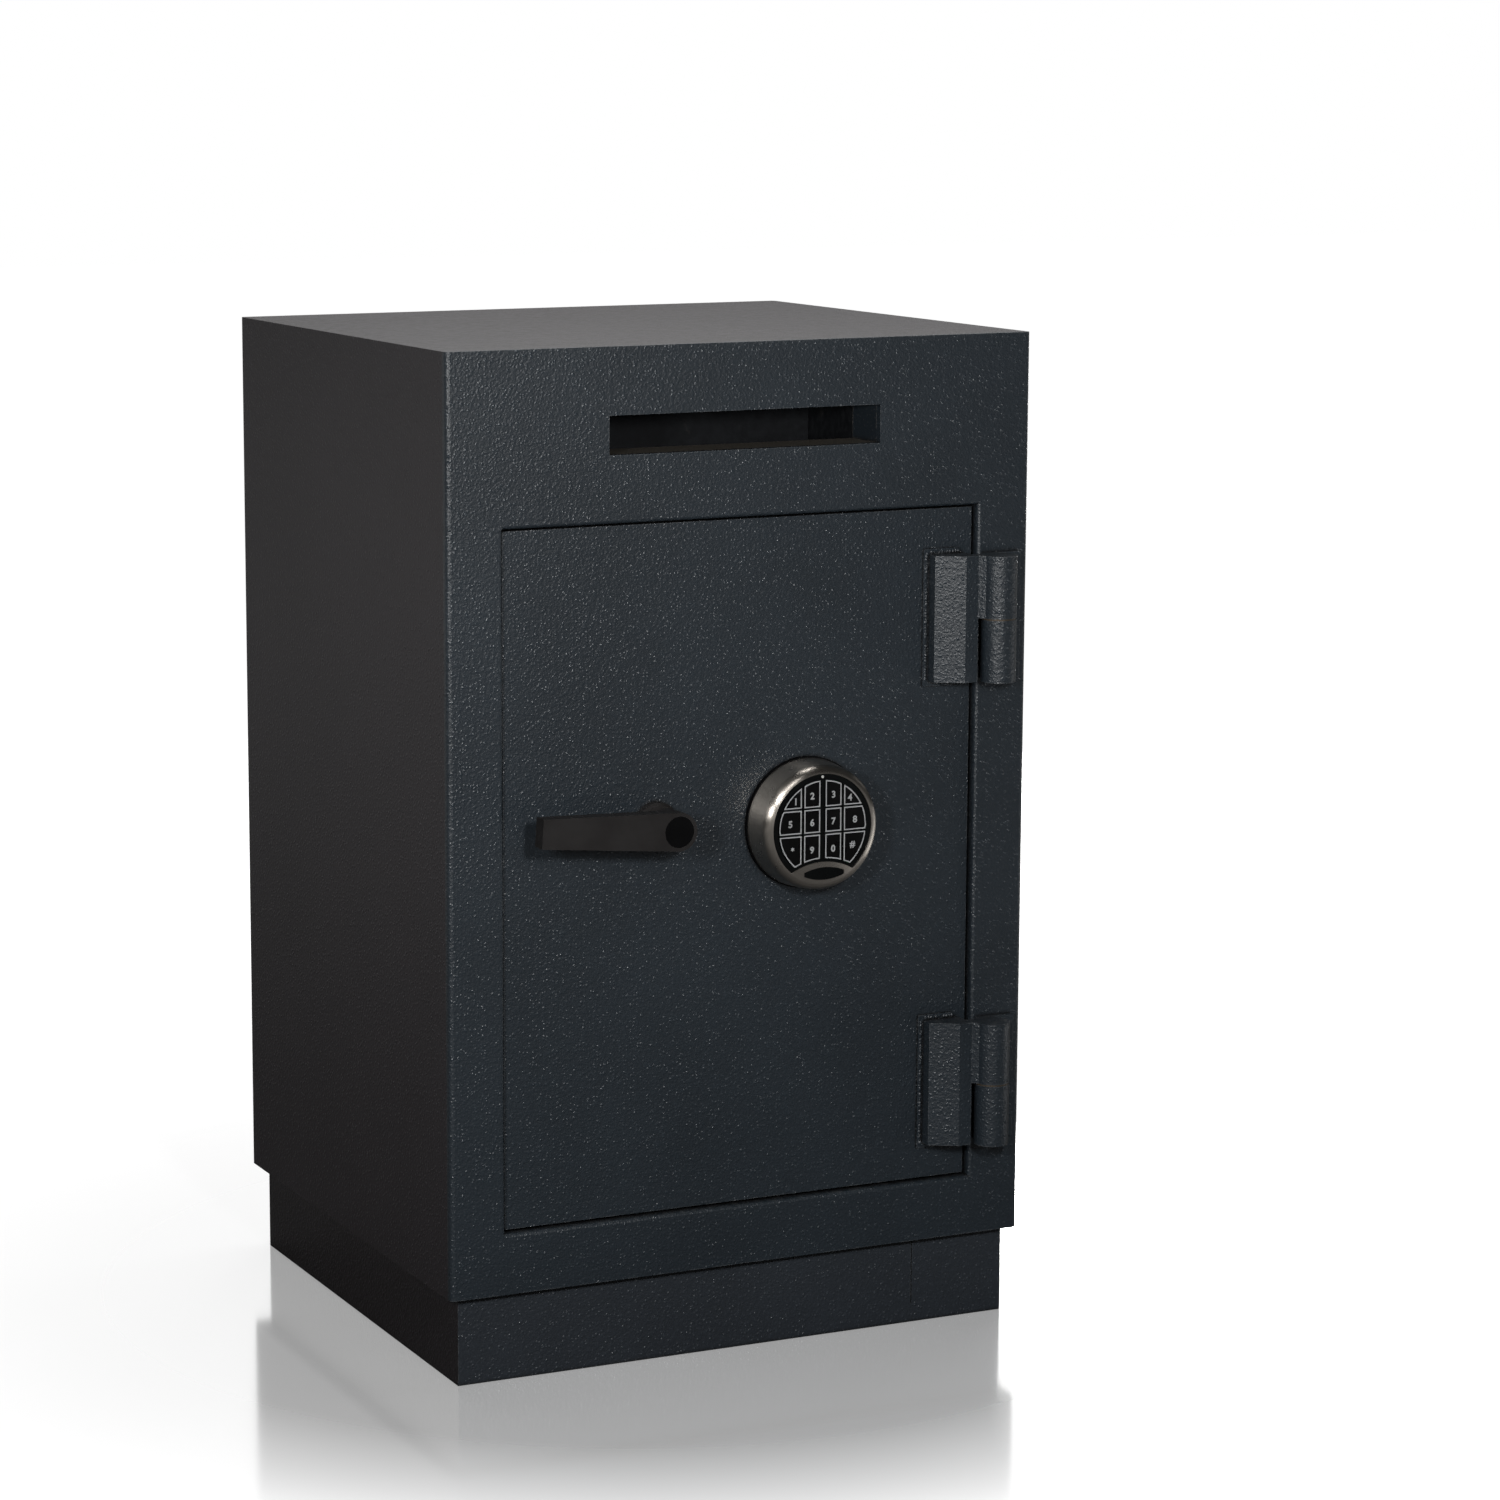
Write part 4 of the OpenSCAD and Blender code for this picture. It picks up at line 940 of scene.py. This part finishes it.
def weld_seams():
    """The bead round the left, upper and lower edge of each hinge block on the door."""
    tree = weld_tree()
    for name, seed in (("upper", 11), ("lower", 23)):
        leaf_low, leaf_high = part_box("hinge_door_leaf_" + name)
        left = leaf_low.x + BLOCK_EDGE
        low, high = leaf_low.z + BLOCK_EDGE, leaf_high.z - BLOCK_EDGE
        right = left + WELD_REACH
        points = [(right, DOOR_FACE, high + WELD_OUT)]
        cx = left - WELD_OUT + WELD_CORNER
        for turn, cz in (
            (math.pi / 2, high + WELD_OUT - WELD_CORNER),
            (math.pi, low - WELD_OUT + WELD_CORNER),
        ):
            for i in range(CORNER_STEPS + 1):
                a = turn + math.pi / 2 * i / CORNER_STEPS
                u, v = WELD_CORNER * math.cos(a), WELD_CORNER * math.sin(a)
                points.append((cx + u, DOOR_FACE, cz + v))
        points.append((right, DOOR_FACE, low - WELD_OUT))
        seam = path_object("weld_path", points)
        modifier = seam.modifiers.new("weld", "NODES")
        modifier.node_group = tree
        set_inputs(
            modifier,
            {
                "Pitch": 0.0021,
                "Width": 0.0052,
                "Height": 0.0042,
                "Seed": seed,
                "Finish": FINISHES["front_paint"],
            },
        )
        mesh = plain_mesh(seam)
        new_object("hinge_weld_" + name, mesh, None, "door")


weld_seams()


# Studio

# The floor's colour, its colour for bounced light, and its own glow for the camera
FLOOR_TONE, FLOOR_BOUNCE, FLOOR_GLOW = 0.5, 0.08, 0.63
# Distances from the middle, in metres, between which a share rises or fades
GLOW_RISES, MIRROR_FADES, FAR_FLOOR_RISES = (0.5, 1.5), (0.385, 0.57), (0.7, 3.0)
# How strongly the floor mirrors, and what gloss sees of the far floor, of a patch beside
# the safe that glows brighter than white as a painted light source for glints, and of the
# wall
FLOOR_MIRROR, FAR_FLOOR, GLINT_PATCH_GLOW, WALL_BAND = 0.62, 0.23, 1.4, 0.95
AMBIENT = 0.025
FRONT_MIDDLE = (0.0, -0.2, 0.42)
# Name, place, aim, size and power of each lamp
LAMPS = (
    ("key_softbox", (-0.36, -1.6, 0.87), FRONT_MIDDLE, (0.14, 0.14), 9.5),
    ("near_softbox", (0.05, -1.59, 0.98), FRONT_MIDDLE, (0.4, 0.4), 2.3),
    ("left_softbox", (-1.13, -1.31, 0.79), FRONT_MIDDLE, (0.18, 0.22), 11.1),
    ("cheek_softbox", (-1.95, -0.6, 0.75), FRONT_MIDDLE, (0.3, 0.5), 0.6),
    ("side_softbox", (-1.2, 0.95, 0.5), (-0.22, 0.1, 0.4), (0.4, 0.4), 0.5),
    ("top_softbox", (0.25, 0.3, 2.2), (0.0, 0.0, 0.7), (1.2, 1.2), 30),
    ("rear_softbox", (1.5, 1.9, 0.45), (0.1, 0.1, 0.36), (0.9, 0.4), 24),
)


def lamp(name, at, aim, size, power):
    """A softbox that the camera doesn't see."""
    data = bpy.data.lights.new(name, "AREA")
    data.shape = "RECTANGLE"
    data.size, data.size_y = size
    data.energy = power
    obj = bpy.data.objects.new(name, data)
    at, aim = Vector(at), Vector(aim)
    turn = (aim - at).to_track_quat("-Z", "Y")
    obj.matrix_world = Matrix.Translation(at) @ turn.to_matrix().to_4x4()
    obj.visible_camera = False
    bpy.context.scene.collection.objects.link(obj)


def floor():
    """White for the camera, with the object's shadow and a soft mirror image by it."""
    mesh = bpy.data.meshes.new("studio_floor")
    bm = bmesh.new()
    bmesh.ops.create_grid(bm, x_segments=8, y_segments=8, size=14)
    bmesh.ops.translate(bm, verts=bm.verts, vec=(0, 0, -0.0002))
    bm.to_mesh(mesh)
    bm.free()
    obj = bpy.data.objects.new("studio_floor", mesh)
    bpy.context.scene.collection.objects.link(obj)
    material = bpy.data.materials.new("pale_floor")
    material.use_nodes = True
    material.node_tree.nodes.clear()
    t = Tree(material.node_tree)
    where = t.add("ShaderNodeTexCoord").outputs["Object"]
    apart = t.add("ShaderNodeVectorMath", operation="LENGTH")
    t.put(apart.inputs[0], where)
    apart = apart.outputs["Value"]
    path = t.add("ShaderNodeLightPath").outputs
    camera = path["Is Camera Ray"]
    gloss = t.math("MAXIMUM", path["Is Glossy Ray"], path["Is Transmission Ray"])
    matt = t.add("ShaderNodeBsdfDiffuse")
    t.put(matt.inputs["Color"], t.mix(camera, grey(FLOOR_BOUNCE), grey(FLOOR_TONE)))
    glow = t.add("ShaderNodeEmission")
    rising = t.remap(apart, *GLOW_RISES, FLOOR_GLOW, 1.0, smooth=True)
    parts = t.add("ShaderNodeSeparateXYZ", {0: where}).outputs
    # A patch of floor beside the safe glows for gloss rays only, brighter than white: a
    # painted light source that puts glints into reflections
    right = t.remap(parts["X"], 0.7, 0.9, smooth=True)
    front = t.remap(parts["Y"], -1.0, -0.7, smooth=True)
    back = t.remap(parts["Y"], -0.3, -0.15, 1.0, 0.0)
    glint_patch = t.math("MULTIPLY", t.math("MULTIPLY", right, front), back)
    far = t.remap(apart, *FAR_FLOOR_RISES, 0.0, FAR_FLOOR)
    gloss_glow = t.math("MULTIPLY_ADD", glint_patch, GLINT_PATCH_GLOW, far)
    gloss_only_glow = t.math("MULTIPLY", gloss, gloss_glow)
    t.put(glow.inputs["Strength"], t.math("MULTIPLY_ADD", camera, rising, gloss_only_glow))
    pale = t.add("ShaderNodeAddShader")
    t.put(pale.inputs[0], matt.outputs[0])
    t.put(pale.inputs[1], glow.outputs[0])
    polish = t.add("ShaderNodeBsdfGlossy", {"Color": grey(1.0), "Roughness": 0.1})
    both = t.add("ShaderNodeMixShader")
    fading = t.math("POWER", t.remap(apart, *MIRROR_FADES, 1.0, 0.0), 0.7)
    mirror = t.math("MULTIPLY", fading, FLOOR_MIRROR)
    t.put(both.inputs[0], t.math("MULTIPLY", camera, mirror))
    t.put(both.inputs[1], pale.outputs[0])
    t.put(both.inputs[2], polish.outputs[0])
    surface = t.add("ShaderNodeOutputMaterial")
    t.put(surface.inputs["Surface"], both.outputs[0])
    mesh.materials.append(material)


def world():
    """White behind the object for the camera; gloss sees a lit band of studio wall."""
    backdrop = bpy.data.worlds.new("studio_world")
    bpy.context.scene.world = backdrop
    backdrop.use_nodes = True
    backdrop.node_tree.nodes.clear()
    t = Tree(backdrop.node_tree)
    path = t.add("ShaderNodeLightPath").outputs
    gloss = t.math("MAXIMUM", path["Is Glossy Ray"], path["Is Transmission Ray"])
    ray = t.add("ShaderNodeSeparateXYZ")
    t.put(ray.inputs[0], t.add("ShaderNodeTexCoord").outputs["Generated"])
    low = t.remap(ray.outputs["Z"], 0.17, 0.24, smooth=True)
    high = t.remap(ray.outputs["Z"], 0.42, 0.6, 1.0, 0.0, smooth=True)
    behind = t.remap(ray.outputs["Y"], -0.1, 0.25, smooth=True)
    band = t.math("MULTIPLY", t.math("MULTIPLY", low, high), behind)
    wall = t.math("MULTIPLY", band, WALL_BAND)
    white = t.math("MAXIMUM", path["Is Camera Ray"], t.math("MULTIPLY", gloss, wall))
    light = t.add("ShaderNodeBackground", {"Strength": 1.0})
    t.put(light.inputs["Color"], t.mix(white, grey(AMBIENT), grey(1.0)))
    surface = t.add("ShaderNodeOutputWorld")
    t.put(surface.inputs["Surface"], light.outputs[0])


floor()
world()
for lamp_values in LAMPS:
    lamp(*lamp_values)

bpy.context.scene.view_settings.view_transform = "Standard"
